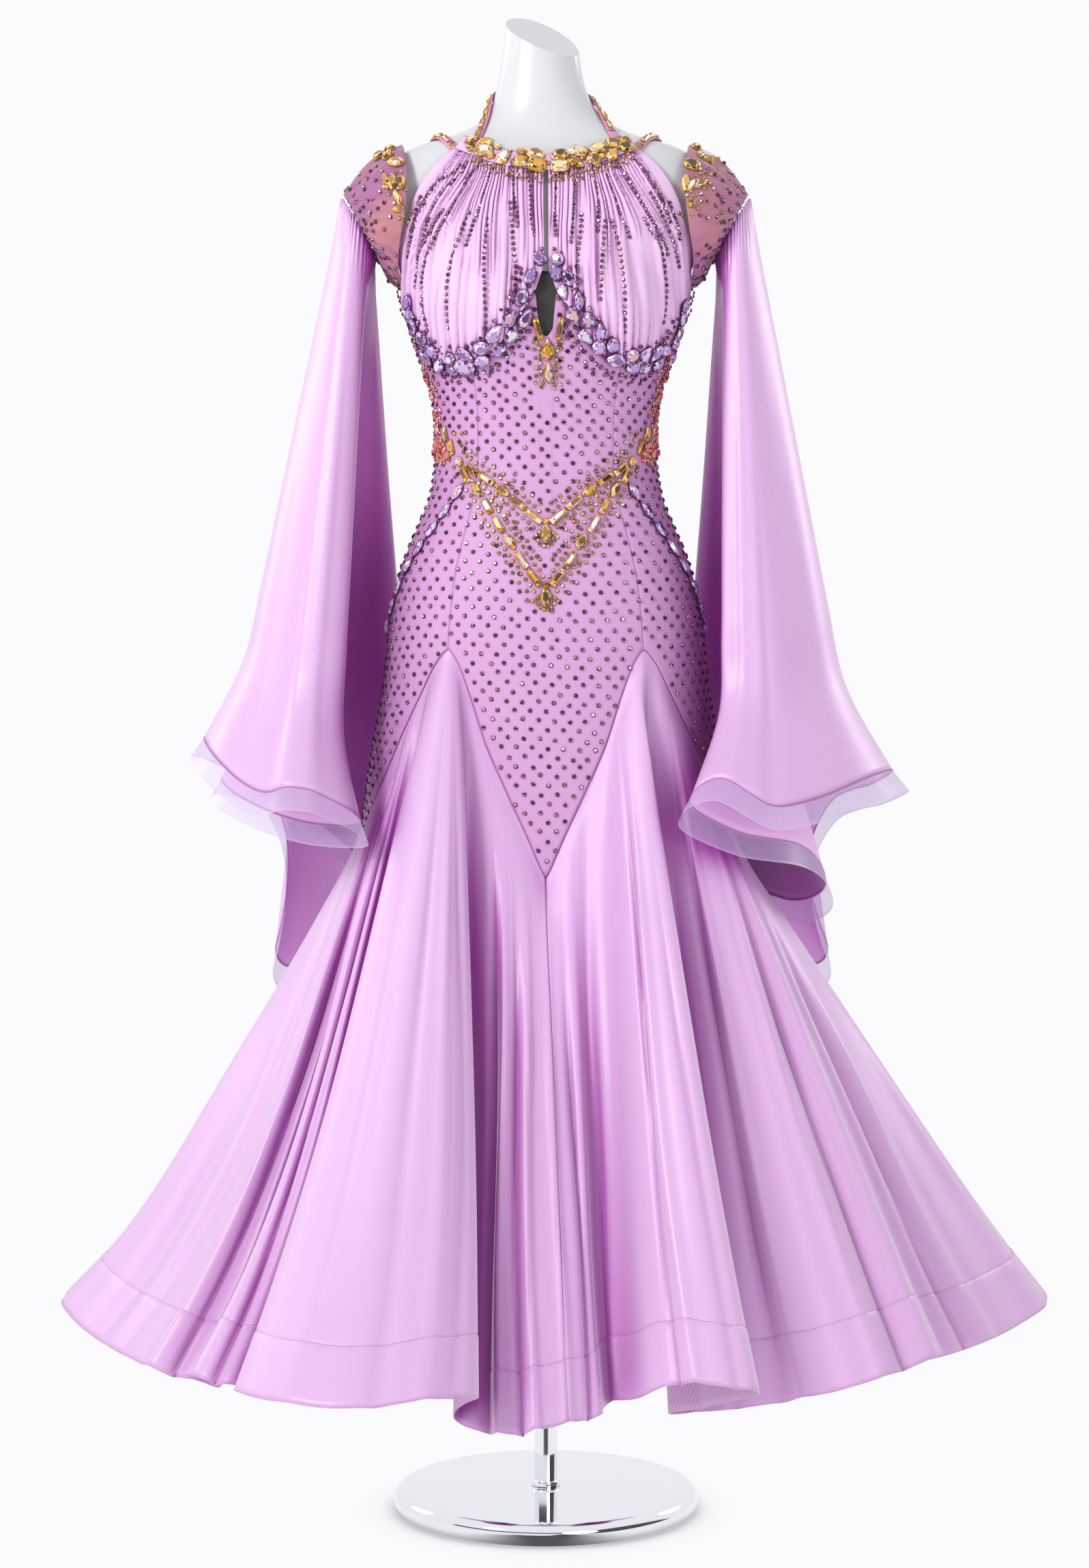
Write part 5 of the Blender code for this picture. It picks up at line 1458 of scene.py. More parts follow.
# The creases that the photograph shows: the column of its pixels where each one nears the hem, half its
# width there in pixels, its depth in metres, and the share of the way down at which it begins.
Seen = namedtuple("Seen", "column width depth start")
SEEN_CREASES = [
    Seen(150, 20, 0.0050, 0.10), Seen(205, 15, -0.0060, 0.05), Seen(258, 10, 0.0080, 0.03),
    Seen(285, 10, -0.0090, 0.02), Seen(312, 10, 0.0080, 0.02), Seen(338, 9, -0.0100, 0.02),
    Seen(364, 11, 0.0060, 0.02), Seen(440, 30, 0.0035, 0.20), Seen(560, 24, -0.0040, 0.02),
    Seen(625, 20, 0.0045, 0.02), Seen(668, 13, -0.0035, 0.05), Seen(712, 8, -0.0090, 0.02),
    Seen(735, 9, 0.0075, 0.02), Seen(762, 8, -0.0090, 0.04), Seen(783, 8, 0.0065, 0.04),
    Seen(828, 11, 0.0065, 0.04), Seen(864, 9, -0.0090, 0.10), Seen(900, 16, 0.0050, 0.08),
    Seen(985, 9, -0.0080, 0.02), Seen(1014, 11, 0.0060, 0.02), Seen(1072, 12, -0.0040, 0.15),
    Seen(1136, 9, -0.0090, 0.04), Seen(1162, 11, 0.0075, 0.04), Seen(1205, 18, -0.0035, 0.20),
    Seen(1274, 12, 0.0060, 0.05), Seen(1306, 9, -0.0100, 0.10), Seen(1336, 12, 0.0075, 0.10),
    Seen(1392, 9, -0.0090, 0.12), Seen(1426, 13, 0.0060, 0.20),
]
SWAY = 9.0  # how far a crease leaves its straight line, in the same pixels
HEM_BAND = 0.062  # the faced band above the skirt's hem
BAND_STAND = 0.0006  # how far the faced band stands out past its stitched line
SKIRT_ACROSS = 6
TUCK_DEPTH = 0.0016  # how far under the fitted body a godet's top edge runs


def band_rows(grid, band, above, below):
    """Fractional rows of each column: evenly down to a stitched line, close together there, then on."""
    dense = np.linspace(0, len(grid) - 1, 120)
    fine = resampled(grid, dense)
    length = lengths_along(fine, 0)
    whole = length[-1]
    line = whole - band
    near = np.array([-0.0035, -0.0015, 0.0, 0.0015, 0.0035])
    shares = [np.linspace(0, 1, above, endpoint=False)[:, None] * (line + near[0])[None, :]]
    shares.append(line[None, :] + near[:, None])
    rest = np.linspace(0, 1, below + 1)[1:, None]
    shares.append(line + near[-1] + (band - near[-1]) * rest)
    wanted = np.concatenate(shares)
    at = np.stack([np.interp(wanted[:, c], length[:, c], dense) for c in range(grid.shape[1])], axis=1)
    return at, above + 2


def fine_skirt():
    """The skirt's surface with creases, the seam angle of each column, and the stitched line's row."""
    grid, angle = skirt_surface(2, 10)
    grid = widened(grid, SKIRT_ACROSS)
    spread = np.concatenate([angle, [HEM_TURN]])
    angle = np.interp(np.arange(grid.shape[1]) / SKIRT_ACROSS, np.arange(len(spread)), spread)
    at, line = band_rows(grid, HEM_BAND, 40, 9)
    grid = resampled(grid, at)
    down = at / at[-1]
    normal = outward_normals(grid, True)
    lift = np.zeros(grid.shape[:2])
    low = grid[int(len(grid) * 0.86)]
    column = MIDDLE_PIXEL + FOCAL_PIXELS * low[:, 0] / (low[:, 1] - CAMERA_PLACE[1])
    facing = soft_step(96, 80, np.abs(angle))
    for crease in SEEN_CREASES:
        sway = SWAY * np.sin(3.4 * down + crease.column / 37) * np.sin(math.pi * down)
        away = (column[None, :] - crease.column - sway) / crease.width
        near = facing[None, :] / (1 + away**2) ** 2
        lift += crease.depth * near * soft_step(crease.start, crease.start + 0.40, down)
    for crease in SKIRT_CREASES:
        near = np.exp(-(((angle - crease.angle) / crease.width) ** 2))[None, :]
        lift += crease.depth * near * soft_step(crease.start, crease.start + 0.45, down)
    rows = np.arange(len(grid))[:, None]
    lift += BAND_STAND * soft_step(line, line + 2, rows) - 0.0004 * np.exp(-((rows - line) / 0.8) ** 2)
    grid = grid + normal * lift[..., None]
    seam_z = seam_height(angle)
    tuck = [on_section(FITTED_TABLE, angle, seam_z + seam_gap(seam_height, angle, 0.003)),
            on_section(FITTED_TABLE, angle, seam_z - seam_gap(seam_height, angle, 0.0003))]
    deep = np.array([TUCK_DEPTH, TUCK_DEPTH - 0.0002])[:, None, None]
    tuck = np.stack(tuck)
    tuck = tuck - outward_normals(tuck, True) * deep
    return np.concatenate([tuck, grid[1:]]), angle, line + 1


GODETS = [
    ("godet_front_left", -85, 0, 1.30),
    ("godet_front_right", 0, 85, 1.30),
    ("godet_back_right", 85, 180, 1.40),
    ("godet_back_left", 180, HEM_TURN, 1.40),
]


def skirt(materials):
    grid, angle, line = fine_skirt()
    grid = np.concatenate([grid, grid[:, :1]], axis=1)
    angle = np.append(angle, HEM_TURN)
    normal = outward_normals(grid, False)
    band = np.clip(np.arange(len(grid)) - line, 0, 1)[:, None]
    for name, start, end, wide in GODETS:
        first, last = (int(np.argmin(np.abs(angle - a))) for a in (start, end))
        piece = grid[:, first : last + 1].copy()
        piece[:, 0] += (piece[:, 1] - piece[:, 0]) * 0.1
        piece[:, -1] += (piece[:, -2] - piece[:, -1]) * 0.1
        made = cloth_sheet(name + "_cloth", piece, [materials["satin"], materials["inside"]], band=band)
        made.visible_glossy = False  # the photograph's chrome shows white and black, and no cloth
        declare(made, name, "satin")
    stitches("hem_stitching", grid[line], normal[line], materials["thread"])


def stitches(name, line, normal, material, length=0.0022, gap=0.0013, thick=0.00045):
    """A row of short stitches along a line on the cloth's outer face."""
    along = lengths_along(line[:, None], 0)[:, 0]
    starts = np.arange(0.001, along[-1] - length, length + gap)
    reads = ((line, starts), (line, starts + length), (normal, starts + length / 2))
    a, b, out = (at_length(rows, along, at).T for rows, at in reads)
    middle = (a + b) / 2 + out * (OUTER + thick)
    a, b = a + out * OUTER, b + out * OUTER
    across = np.cross(b - a, out)
    across *= thick / 2 / np.linalg.norm(across, axis=-1, keepdims=True)
    points = np.stack([a, b, middle + across, middle - across, middle - out * 2 * thick], axis=1)
    pattern = [(0, 2, 3), (1, 3, 2), (0, 3, 4), (0, 4, 2), (1, 4, 3), (1, 2, 4)]
    faces = [tuple(5 * i + k for k in face) for i in range(len(points)) for face in pattern]
    on_part(mesh_object(name, points.reshape(-1, 3), faces, [material]), "satin")


# The sleeves.

SleeveCrease = namedtuple("SleeveCrease", "turn width depth start")
SLEEVE_CREASES = [
    SleeveCrease(20, 9, 0.003, 0.20), SleeveCrease(58, 7, -0.003, 0.30), SleeveCrease(84, 6, 0.0025, 0.05),
    SleeveCrease(118, 8, -0.002, 0.30), SleeveCrease(150, 7, 0.003, 0.25), SleeveCrease(188, 7, -0.003, 0.30),
    SleeveCrease(232, 8, 0.004, 0.25), SleeveCrease(274, 8, -0.004, 0.20), SleeveCrease(320, 9, 0.004, 0.25),
]
BELL_ROWS, CAP_ROWS, SLEEVE_ACROSS = 8, 4, 6
CAP_GATHERS = 26
BELL_FINE = 54  # rows of a bell's finer grid


def turned_columns(values, times):
    """Values of a round list of columns, read as finely as its widened grid."""
    spread = np.concatenate([values, [360.0]])
    return np.interp(np.arange(len(values) * times) / times, np.arange(len(spread)), spread)


def fine_sleeve(table, side):
    """Finer grids of one sleeve: its cap, its bell and its braid, with creases, and the columns' turns."""
    turns = bell_turns(table, 2)
    cap_share = np.linspace(0, 1 - 1.6 * TURNED_SEAM / 0.045, CAP_ROWS)
    down = np.concatenate([np.linspace(0, 1, BELL_ROWS), 1 + np.array([2 * SEAM, BRAID_WIDTH]) / 0.65])
    mirror = np.array([side, 1.0, 1.0])
    cap = widened(cap_surface(turns, cap_share) * mirror, SLEEVE_ACROSS)
    bell = widened(bell_surface(table, 2, down) * mirror, SLEEVE_ACROSS)
    turns = turned_columns(turns, SLEEVE_ACROSS)
    cap = resampled(cap, np.linspace(0, CAP_ROWS - 1, 22))
    braid_rows = BELL_ROWS + np.array([0, 0.5, 1])
    whole = resampled(bell, np.concatenate([np.linspace(0, BELL_ROWS - 1, BELL_FINE), braid_rows]))
    centre = whole.mean(axis=1, keepdims=True)
    normal = outward_normals(whole, True, centre)
    share = np.linspace(0, 1, len(whole))[:, None]
    lift = np.zeros(whole.shape[:2])
    for crease in SLEEVE_CREASES:
        away = (turns - crease.turn + 180) % 360 - 180
        lift += crease.depth * np.exp(-((away / crease.width) ** 2)) * soft_step(
            crease.start, crease.start + 0.5, share) * 0.8
    turn = np.radians(turns)
    gathers = 0.0010 * np.sin(turn * 37 + 1.5 * np.sin(turn * 5)) * soft_step(0.09, 0.0, share)
    whole = whole + normal * (lift + gathers)[..., None]
    cap_normal = outward_normals(cap, True, cap.mean(axis=1, keepdims=True))
    across = np.linspace(0, 1, len(cap))[:, None]
    puckers = 0.0014 * np.sin(turn * CAP_GATHERS + 2 * across + np.sin(3 * turn)) * (0.3 + 0.7 * across)
    puckers += 0.0018 * np.sin(turn * 9 - 3 * across + 2 * np.sin(2 * turn)) * np.sin(math.pi * across)
    return cap + cap_normal * puckers[..., None], whole[:BELL_FINE], whole[BELL_FINE:], turns


def ring_tube(name, line, radius, material, sides=6):
    """A thin round cord sewn along a closed line."""
    ahead = np.roll(line, -1, axis=0) - np.roll(line, 1, axis=0)
    ahead /= np.linalg.norm(ahead, axis=-1, keepdims=True)
    side = np.cross(ahead, UP)
    side /= np.linalg.norm(side, axis=-1, keepdims=True)
    rise = np.cross(side, ahead)
    turn = np.arange(sides) * 2 * math.pi / sides
    points = line[:, None] + radius * (
        side[:, None] * np.cos(turn)[None, :, None] + rise[:, None] * np.sin(turn)[None, :, None]
    )
    quads = quads_of(len(line) + 1, sides, around=True) % (len(line) * sides)
    on_part(mesh_object(name, points.reshape(-1, 3), quads.tolist(), [material]), "satin")


def sleeves(materials):
    caps = {}
    for name, table, side in (("right", SLEEVE_RIGHT, 1.0), ("left", SLEEVE_LEFT, -1.0)):
        cap, bell, braid, turns = fine_sleeve(table, side)
        for part, grid, paint, wide, tall, held, rests, slot in (
            ("sleeve_cap_", cap, ["sheer"], 0.42, 0.10, "stretched", ["dress_form"], "sheer_mesh"),
            ("sleeve_", bell, ["satin_sleeve", "inside_sleeve"], 1.60, 0.90, "hung",
             [f"sleeve_cap_{name}"], "satin"),
            ("sleeve_braid_", braid, ["braid"], 2.2, 0.045, "hung", [f"sleeve_{name}"], "net_braid"),
        ):
            node_name = part + name
            band = None
            if part == "sleeve_braid_":
                grid = resampled(grid, np.linspace(0, 2, 9))
                rows = np.linspace(0, 1, 9)[:, None]
                band = np.maximum(soft_step(0.88, 1.0, rows), soft_step(0.12, 0.0, rows))
            centre = grid.mean(axis=1, keepdims=True)
            made = cloth_sheet(
                node_name + "_cloth", grid, [materials[key] for key in paint], around=True,
                thickness=0.0 if part == "sleeve_braid_" else 0.0008, centre=centre, band=band,
            )
            declare(made, node_name, slot)
        COVER.add(cap, outward_normals(cap, True, cap.mean(axis=1, keepdims=True)), around=True)
        hem = bell[-1] * 0.3 + braid[0] * 0.7
        ring_tube(f"sleeve_seam_{name}", hem, 0.0009, materials["seam"])
        caps[name] = (cap, turns, side)
    return caps


def cap_stones(name, cap, turns, side, materials):
    """Gold stones along the cap's open edge, and plum ones scattered over the mesh."""
    normal = outward_normals(cap, True, cap.mean(axis=1, keepdims=True))
    jewels = Jewels(51 if side > 0 else 52)

    def spot(turn, share):
        column = int(np.argmin(np.abs((turns - turn + 180) % 360 - 180)))
        row = int(round(share * (len(cap) - 1)))
        return cap[row, column] + normal[row, column] * 0.0005, normal[row, column]

    set_stones(jewels, CAP_GOLD[name], 0.0046, grow=1.20)
    for column, row in CAP_SMALL[name]:
        jewels.seen(column, row, 0.0041, 0.0019, 3)
    for column, row in CAP_PLUM[name]:
        jewels.seen(column, row, SMALL)
    random = np.random.default_rng(61 if side > 0 else 62)
    for row in range(5):
        for column in range(24):
            turn = (column + (row % 2) / 2) * 15 + random.normal(0, 1.5)
            share = 0.12 + row * 0.20 + random.normal(0, 0.02)
            if share < 0.60 and (turn < 112 or turn > 345):
                continue
            jewels.small(*spot(turn, min(share, 0.98)), SMALL)
    jewels.build(f"gold_cap_{name}", materials, ("brass", "gold", "plum", "spark"), f"cap_stones_{name}",
                 slot="gold_stones")


# Large stones as the photograph shows them: kind, its pixel, length and width in millimetres, and the
# tilt of its length in degrees up from level.
Placed = namedtuple("Placed", "kind column row length width tilt")
CAP_GOLD = {
    "left": [
        Placed("square", 556, 229, 11.5, 9.0, 20), Placed("square", 569, 229, 10.5, 9.5, 30),
        Placed("oval", 572, 219, 10.5, 7.0, -15), Placed("oval", 580, 238, 15.0, 11.5, -30),
        Placed("marquise", 566, 266, 16.0, 6.6, -70), Placed("marquise", 575, 266, 18.0, 7.0, -85),
        Placed("drop", 588, 268, 14.5, 9.0, -75), Placed("marquise", 583, 290, 17.5, 6.6, -65),
        Placed("marquise", 597, 297, 17.0, 6.6, -75), Placed("drop", 581, 309, 7.5, 4.5, -30),
    ],
    "right": [
        Placed("square", 1020, 217, 10.0, 8.0, -10), Placed("oval", 1040, 219, 14.0, 7.0, -15),
        Placed("square", 1033, 231, 14.5, 12.0, 20), Placed("square", 1014, 242, 14.0, 11.0, -20),
        Placed("marquise", 1004, 269, 17.5, 8.0, 75), Placed("marquise", 1012, 272, 15.0, 6.0, 55),
        Placed("marquise", 1026, 270, 15.5, 6.0, 30), Placed("oval", 1001, 301, 10.0, 8.5, 60),
        Placed("oval", 1013, 297, 8.5, 7.0, 70),
    ],
}
# The pixels of small gold and of small plum stones on the caps.
CAP_SMALL = {
    "left": [(552, 244), (560, 251), (588, 252), (580, 254), (563, 274), (571, 285), (578, 298), (590, 304),
             (595, 279), (584, 277), (591, 316), (585, 320), (597, 314), (601, 319), (603, 310), (598, 326)],
    "right": [(1042, 240), (1053, 232), (1052, 250), (1026, 248), (1026, 255), (1035, 255), (1042, 256),
              (1019, 258), (1022, 265), (1030, 261), (1040, 269), (1032, 276), (1012, 281), (1006, 287),
              (1000, 289), (1017, 287), (1028, 295), (1022, 306), (995, 313), (1001, 316), (1013, 314)],
}
CAP_PLUM = {
    "left": [(543, 251), (551, 265), (534, 278), (557, 281), (546, 292), (532, 303), (554, 306), (541, 315),
             (563, 297), (572, 318), (551, 325), (538, 262), (547, 338), (563, 336), (536, 328)],
    "right": [(1037, 247), (1048, 256), (1061, 239), (1068, 253), (1059, 265), (1075, 257), (1045, 276),
              (1052, 286), (1070, 283), (1079, 274), (1027, 285), (1037, 294), (1049, 301), (1059, 298),
              (1070, 307), (1037, 319), (1026, 315), (1051, 318), (1062, 326)],
}


def set_stones(jewels, stones, height, grow=1.0):
    """Large stones at their pixels, this many times their size there."""
    for one in stones:
        size = one.length / 1000
        seat = COVER.seat(one.column, one.row, size)
        if seat is None:
            continue
        place, normal = seat
        tilt = math.radians(one.tilt)
        along = np.array([math.cos(tilt), 0.0, math.sin(tilt)])
        jewels.add(one.kind, place, normal, along, size * grow, one.width / 1000 * grow, height)


# The trims of large stones.

# A belt's right half: each stone's kind, how far out and how high it is, its length and its width.
Set = namedtuple("Set", "kind x z length width")
UPPER_BELT = [
    Set("baguette", 0.0125, 1.0204, 0.0195, 0.0066), Set("baguette", 0.0282, 1.0345, 0.0190, 0.0066),
    Set("marquise", 0.0436, 1.0474, 0.0190, 0.0098), Set("baguette", 0.0592, 1.0590, 0.0190, 0.0066),
    Set("baguette", 0.0742, 1.0690, 0.0175, 0.0066), Set("oval", 0.0862, 1.0772, 0.0105, 0.0085),
    Set("baguette", 0.0942, 1.0925, 0.0150, 0.0056), Set("baguette", 0.1002, 1.1065, 0.0140, 0.0050),
]
LOWER_BELT = [
    Set("baguette", 0.0116, 0.9592, 0.0195, 0.0066), Set("baguette", 0.0240, 0.9768, 0.0190, 0.0066),
    Set("marquise", 0.0358, 0.9955, 0.0190, 0.0098), Set("baguette", 0.0474, 1.0130, 0.0190, 0.0066),
    Set("baguette", 0.0583, 1.0310, 0.0175, 0.0066), Set("marquise", 0.0690, 1.0480, 0.0175, 0.0090),
    Set("baguette", 0.0800, 1.0630, 0.0170, 0.0066),
]
BESIDE = 0.0083  # from a belt's middle to the small stones along it


def belt(jewels, sequence, tip_z):
    """Large gold stones along both arms of a belt, with two rows of small ones close beside them."""
    line = np.array([(0.0, tip_z)] + [(one.x, one.z) for one in sequence])
    length = lengths_along(line[:, None], 0)[:, 0]
    random = np.random.default_rng(70)
    for side in (-1.0, 1.0):
        for k, one in enumerate(sequence):
            ahead = line[min(k + 2, len(line) - 1)] - line[k]
            place, normal = on_front(side * one.x, one.z, OUTER + 0.0004)
            along = np.array([side * ahead[0], 0.0, ahead[1]])
            jewels.add(one.kind, place, normal, along, one.length, one.width, 0.0044, 1)
        for lane, spacing in ((1.0, 0.0072), (-1.0, 0.0072), (1.75, 0.0115), (-1.75, 0.0115)):
            for at in np.arange(0.002 if lane < 0 else 0.009, length[-1], spacing):
                x, z = at_length(line, length, at)
                ahead = at_length(line, length, at + 0.004) - at_length(line, length, at - 0.004)
                size = math.hypot(*ahead)
                offset = lane * BESIDE + random.normal(0, 0.0006)
                x, z = x - ahead[1] / size * offset, z + ahead[0] / size * offset
                if x < 0.002:
                    continue
                place, normal = on_front(side * x, z, OUTER)
                jewels.small(place, normal, 0.0044, 0.0020)


def belts(materials):
    for name, sequence, tip_z in (("upper", UPPER_BELT, 1.0090), ("lower", LOWER_BELT, 0.9430)):
        jewels = Jewels(71 if name == "upper" else 72)
        belt(jewels, sequence, tip_z)
        low = 1.0030 if name == "upper" else 0.9400
        place, normal = on_front(0.0, low, OUTER + 0.0010)
        jewels.add("marquise", place, normal, -UP, 0.0195, 0.0112, 0.0050, 1)
        place, normal = on_front(0.0, low + 0.0125, OUTER + 0.0006)
        jewels.add("square", place, normal, UP, 0.0060, 0.0060, 0.0034, 1)
        for k in range(8):
            turn = math.pi * (0.04 + 0.92 * k / 7)
            place, normal = on_front(0.0095 * math.cos(turn), low - 0.0125 * math.sin(turn), OUTER)
            jewels.small(place, normal, 0.0044, 0.0020)
        jewels.build(f"gold_belt_{name}", materials, GOLDEN,
                     f"belt_stones_{name}", slot="gold_stones")


def hip_chains(materials):
    """Lilac navettes from each end of the belts down round the hip."""
    for name, side in SIDES:
        jewels = Jewels(81 if side > 0 else 82)
        angle = np.linspace(45, 92, 60)
        height = 1.050 - (angle - 45) / 47 * 0.155
        line, normal = fitted_line(side * angle, height, OUTER + 0.0006)
        length = lengths_along(line[:, None], 0)[:, 0]
        for stop in np.arange(0.004, length[-1] - 0.01, 0.0235):
            place, out = (at_length(rows, length, stop) for rows in (line, normal))
            along = at_length(line, length, stop + 0.004) - at_length(line, length, stop - 0.004)
            jewels.add("marquise", place, out, along, 0.0195, 0.0092, 0.0046, 1)
            jewels.small(at_length(line, length, stop + 0.0118), out, 0.0042, 0.0019)
        jewels.build(f"violet_hip_{name}", materials, VIOLETS,
                     f"hip_stones_{name}", slot="violet_stones")
        coral_waist(name, side, materials)


# The drops of the coral cluster: each one's angle round the waist, its height and its tilt in degrees.
CORAL_DROPS = [
    (60, 1.086, 20), (66, 1.094, -30), (72, 1.088, 40), (78, 1.096, 0), (84, 1.090, 30),
    (73, 1.112, 70), (75, 1.128, 80), (77, 1.146, 70), (80, 1.165, 80),
]


def coral_waist(name, side, materials):
    """A cluster of coral and gold stones where the belts run out at the side of the waist."""
    jewels = Jewels(91 if side > 0 else 92)
    random = np.random.default_rng(93 if side > 0 else 94)
    for k in range(230):
        angle = 56 + 46 * random.uniform() ** 0.8
        high = 1.088 + random.normal(0, 0.0075) + (angle - 60) * 0.0003
        if k % 3 == 0:
            angle, high = 70 + random.normal(0, 4) + 12 * (k / 230), 1.095 + 0.105 * random.uniform()
        place, normal = fitted_line(side * angle, high, OUTER)
        size = random.choice([0.0034, 0.0044, 0.0052])
        jewels.small(place, normal, size, stone=1 if k % 4 else 2)
    for angle, high, tilt in CORAL_DROPS:
        place, normal = fitted_line(side * angle, high, OUTER + 0.0004)
        lean = np.array([side * 0.4, 0.5, math.sin(math.radians(tilt))])
        jewels.add("drop", place, normal, lean, 0.0115, 0.0075, 0.0038, 1)
    jewels.build(f"coral_waist_{name}", materials, ("brass", "coral", "gold"), slot="gold_stones")


VIOLET_SET = {
    "left": [
        Placed("oval", 791, 380, 14.5, 11.0, -30), Placed("oval", 795, 400, 15.5, 11.0, 60),
        Placed("oval", 777, 406, 15.0, 10.0, 60), Placed("oval", 785, 428, 15.0, 11.5, 55),
        Placed("oval", 765, 436, 15.0, 10.5, 60), Placed("drop", 770, 464, 19.5, 12.0, 60),
        Placed("drop", 748, 466, 17.0, 11.5, 55), Placed("drop", 725, 488, 19.0, 12.0, 55),
        Placed("oval", 749, 491, 15.5, 11.5, 50), Placed("oval", 705, 509, 14.0, 12.5, 0),
        Placed("oval", 730, 512, 15.5, 11.5, 35), Placed("oval", 708, 527, 13.5, 10.5, 30),
        Placed("marquise", 684, 518, 17.5, 9.0, -30), Placed("oval", 683, 536, 20.0, 15.0, 0),
        Placed("oval", 665, 541, 12.0, 11.0, 0), Placed("oval", 661, 525, 11.0, 10.0, 70),
        Placed("oval", 647, 534, 14.0, 10.0, 60), Placed("oval", 634, 514, 14.0, 10.0, -45),
        Placed("marquise", 629, 522, 17.0, 8.0, -50), Placed("oval", 619, 496, 13.5, 9.0, -60),
        Placed("oval", 610, 479, 14.0, 8.5, -65), Placed("oval", 603, 463, 12.0, 7.5, -70),
        Placed("oval", 598, 443, 14.0, 8.0, 80),
    ],
    "right": [
        Placed("oval", 819, 381, 14.0, 10.5, -40), Placed("oval", 815, 401, 15.0, 11.0, -70),
        Placed("oval", 833, 409, 14.5, 9.5, -65), Placed("drop", 826, 429, 14.5, 10.5, -60),
        Placed("marquise", 846, 442, 16.5, 9.5, -75), Placed("drop", 839, 463, 18.0, 12.0, -60),
        Placed("oval", 863, 469, 14.5, 10.5, -85), Placed("drop", 859, 492, 17.0, 11.5, -50),
        Placed("marquise", 881, 486, 17.0, 9.5, 82), Placed("oval", 877, 509, 13.5, 11.5, -50),
        Placed("oval", 897, 506, 14.5, 12.0, -50), Placed("marquise", 901, 527, 20.0, 12.0, -18),
        Placed("oval", 925, 519, 12.5, 11.5, 0), Placed("marquise", 943, 521, 19.0, 9.5, 45),
        Placed("oval", 926, 537, 13.5, 10.0, 0), Placed("oval", 943, 539, 12.5, 10.5, 30),
        Placed("marquise", 961, 517, 17.0, 8.5, 45), Placed("drop", 963, 532, 15.5, 11.5, 45),
        Placed("oval", 974, 513, 12.0, 10.0, 0), Placed("oval", 987, 503, 13.5, 10.5, 60),
        Placed("marquise", 982, 524, 14.0, 9.0, 40), Placed("oval", 993, 487, 13.0, 9.0, 65),
        Placed("oval", 999, 468, 13.0, 7.5, 70), Placed("oval", 1003, 448, 12.0, 7.0, 80),
    ],
}


# Rows of small stones beside the line under the bust: how far from it, and from stone to stone.
UNDERBUST_LANES = ((-0.0125, 0.0064), (0.0125, 0.0068), (-0.0178, 0.0090), (0.0185, 0.0125), (0.0, 0.0085))


def underbust_trims(materials):
    """Lilac ovals and drops round the keyhole and under each cup, among small plum stones."""
    for name, side in SIDES:
        jewels = Jewels(101 if side > 0 else 102)
        set_stones(jewels, VIOLET_SET[name], 0.0054, grow=1.18)
        path = [EdgePoint(0.0120, 1.2640), EdgePoint(0.0165, 1.2450)] + UNDERBUST[1:]
        x, z = sampled(path, 80)
        angle = np.append(angle_at(x, z), [84.0, 88.0])
        height = np.append(z, [UNDERBUST_SIDE_Z - 0.010, UNDERBUST_SIDE_Z])
        line, normal = fitted_line(side * angle, height, OUTER)
        length = lengths_along(line[:, None], 0)[:, 0]
        random = np.random.default_rng(103 if side > 0 else 104)
        rises = CUP_EASE + 0.0030
        for lane, spacing in UNDERBUST_LANES:
            for at in np.arange(0.004, length[-1] - 0.004, spacing):
                at += random.normal(0, 0.0010)
                place, out = (at_length(rows, length, at) for rows in (line, normal))
                ahead = at_length(line, length, at + 0.004) - at_length(line, length, at - 0.004)
                across = np.cross(out, ahead / np.linalg.norm(ahead)) * side
                place = place + across * (lane + random.normal(0, 0.0009))
                if abs(place[0]) < 0.0130:
                    continue
                if lane >= 0:
                    place = place + out * rises
                jewels.small(place, out, 0.0044, 0.0020)
        for away, row in ((9, 365), (19, 371), (13, 376)):
            jewels.seen(KEYHOLE_COLUMN + away * side, row, SMALL, 0.0020)
        jewels.build(f"violet_underbust_{name}", materials, VIOLETS,
                     f"underbust_stones_{name}", slot="violet_stones")


PENDANT_SET = [
    Placed("drop", 803, 512, 22.0, 14.0, 90), Placed("marquise", 804, 547, 20.0, 9.5, 90),
    Placed("baguette", 821, 481, 22.0, 6.2, 77), Placed("baguette", 788, 482, 22.0, 6.2, 111),
]


def pendant(materials):
    """Two gold stones under the keyhole, and a baguette on each of its lower sides."""
    jewels = Jewels(111)
    set_stones(jewels, PENDANT_SET, 0.0052)
    for side in (-1, 1):
        for k in range(13):
            for lane in (0, 1) if k % 2 else (0,):
                spread = 15 + 8 * lane - 0.55 * k + jewels.random.uniform(-2.5, 2.5)
                row = 494 + 6.2 * k + jewels.random.uniform(-2, 2)
                jewels.seen(KEYHOLE_COLUMN + side * spread, row, 0.0042, 0.0019)
    jewels.build("gold_pendant", materials, GOLDEN,
                 "pendant_stones", slot="gold_stones")


# The neckband and the straps.


def strip(name, line, normal, width, material, thickness=CLOTH, columns=7):
    """A strip of cloth along a line, a little crowned."""
    across = np.cross(np.gradient(line, axis=0), normal)
    across /= np.linalg.norm(across, axis=-1, keepdims=True)
    place = np.linspace(-0.5, 0.5, columns)
    crown = 0.0005 * (1 - (2 * place) ** 2)
    grid = line[None] + across[None] * (place * width)[:, None, None]
    grid = grid + normal[None] * crown[:, None, None]
    return cloth_sheet(name, grid, [material], thickness=thickness), grid


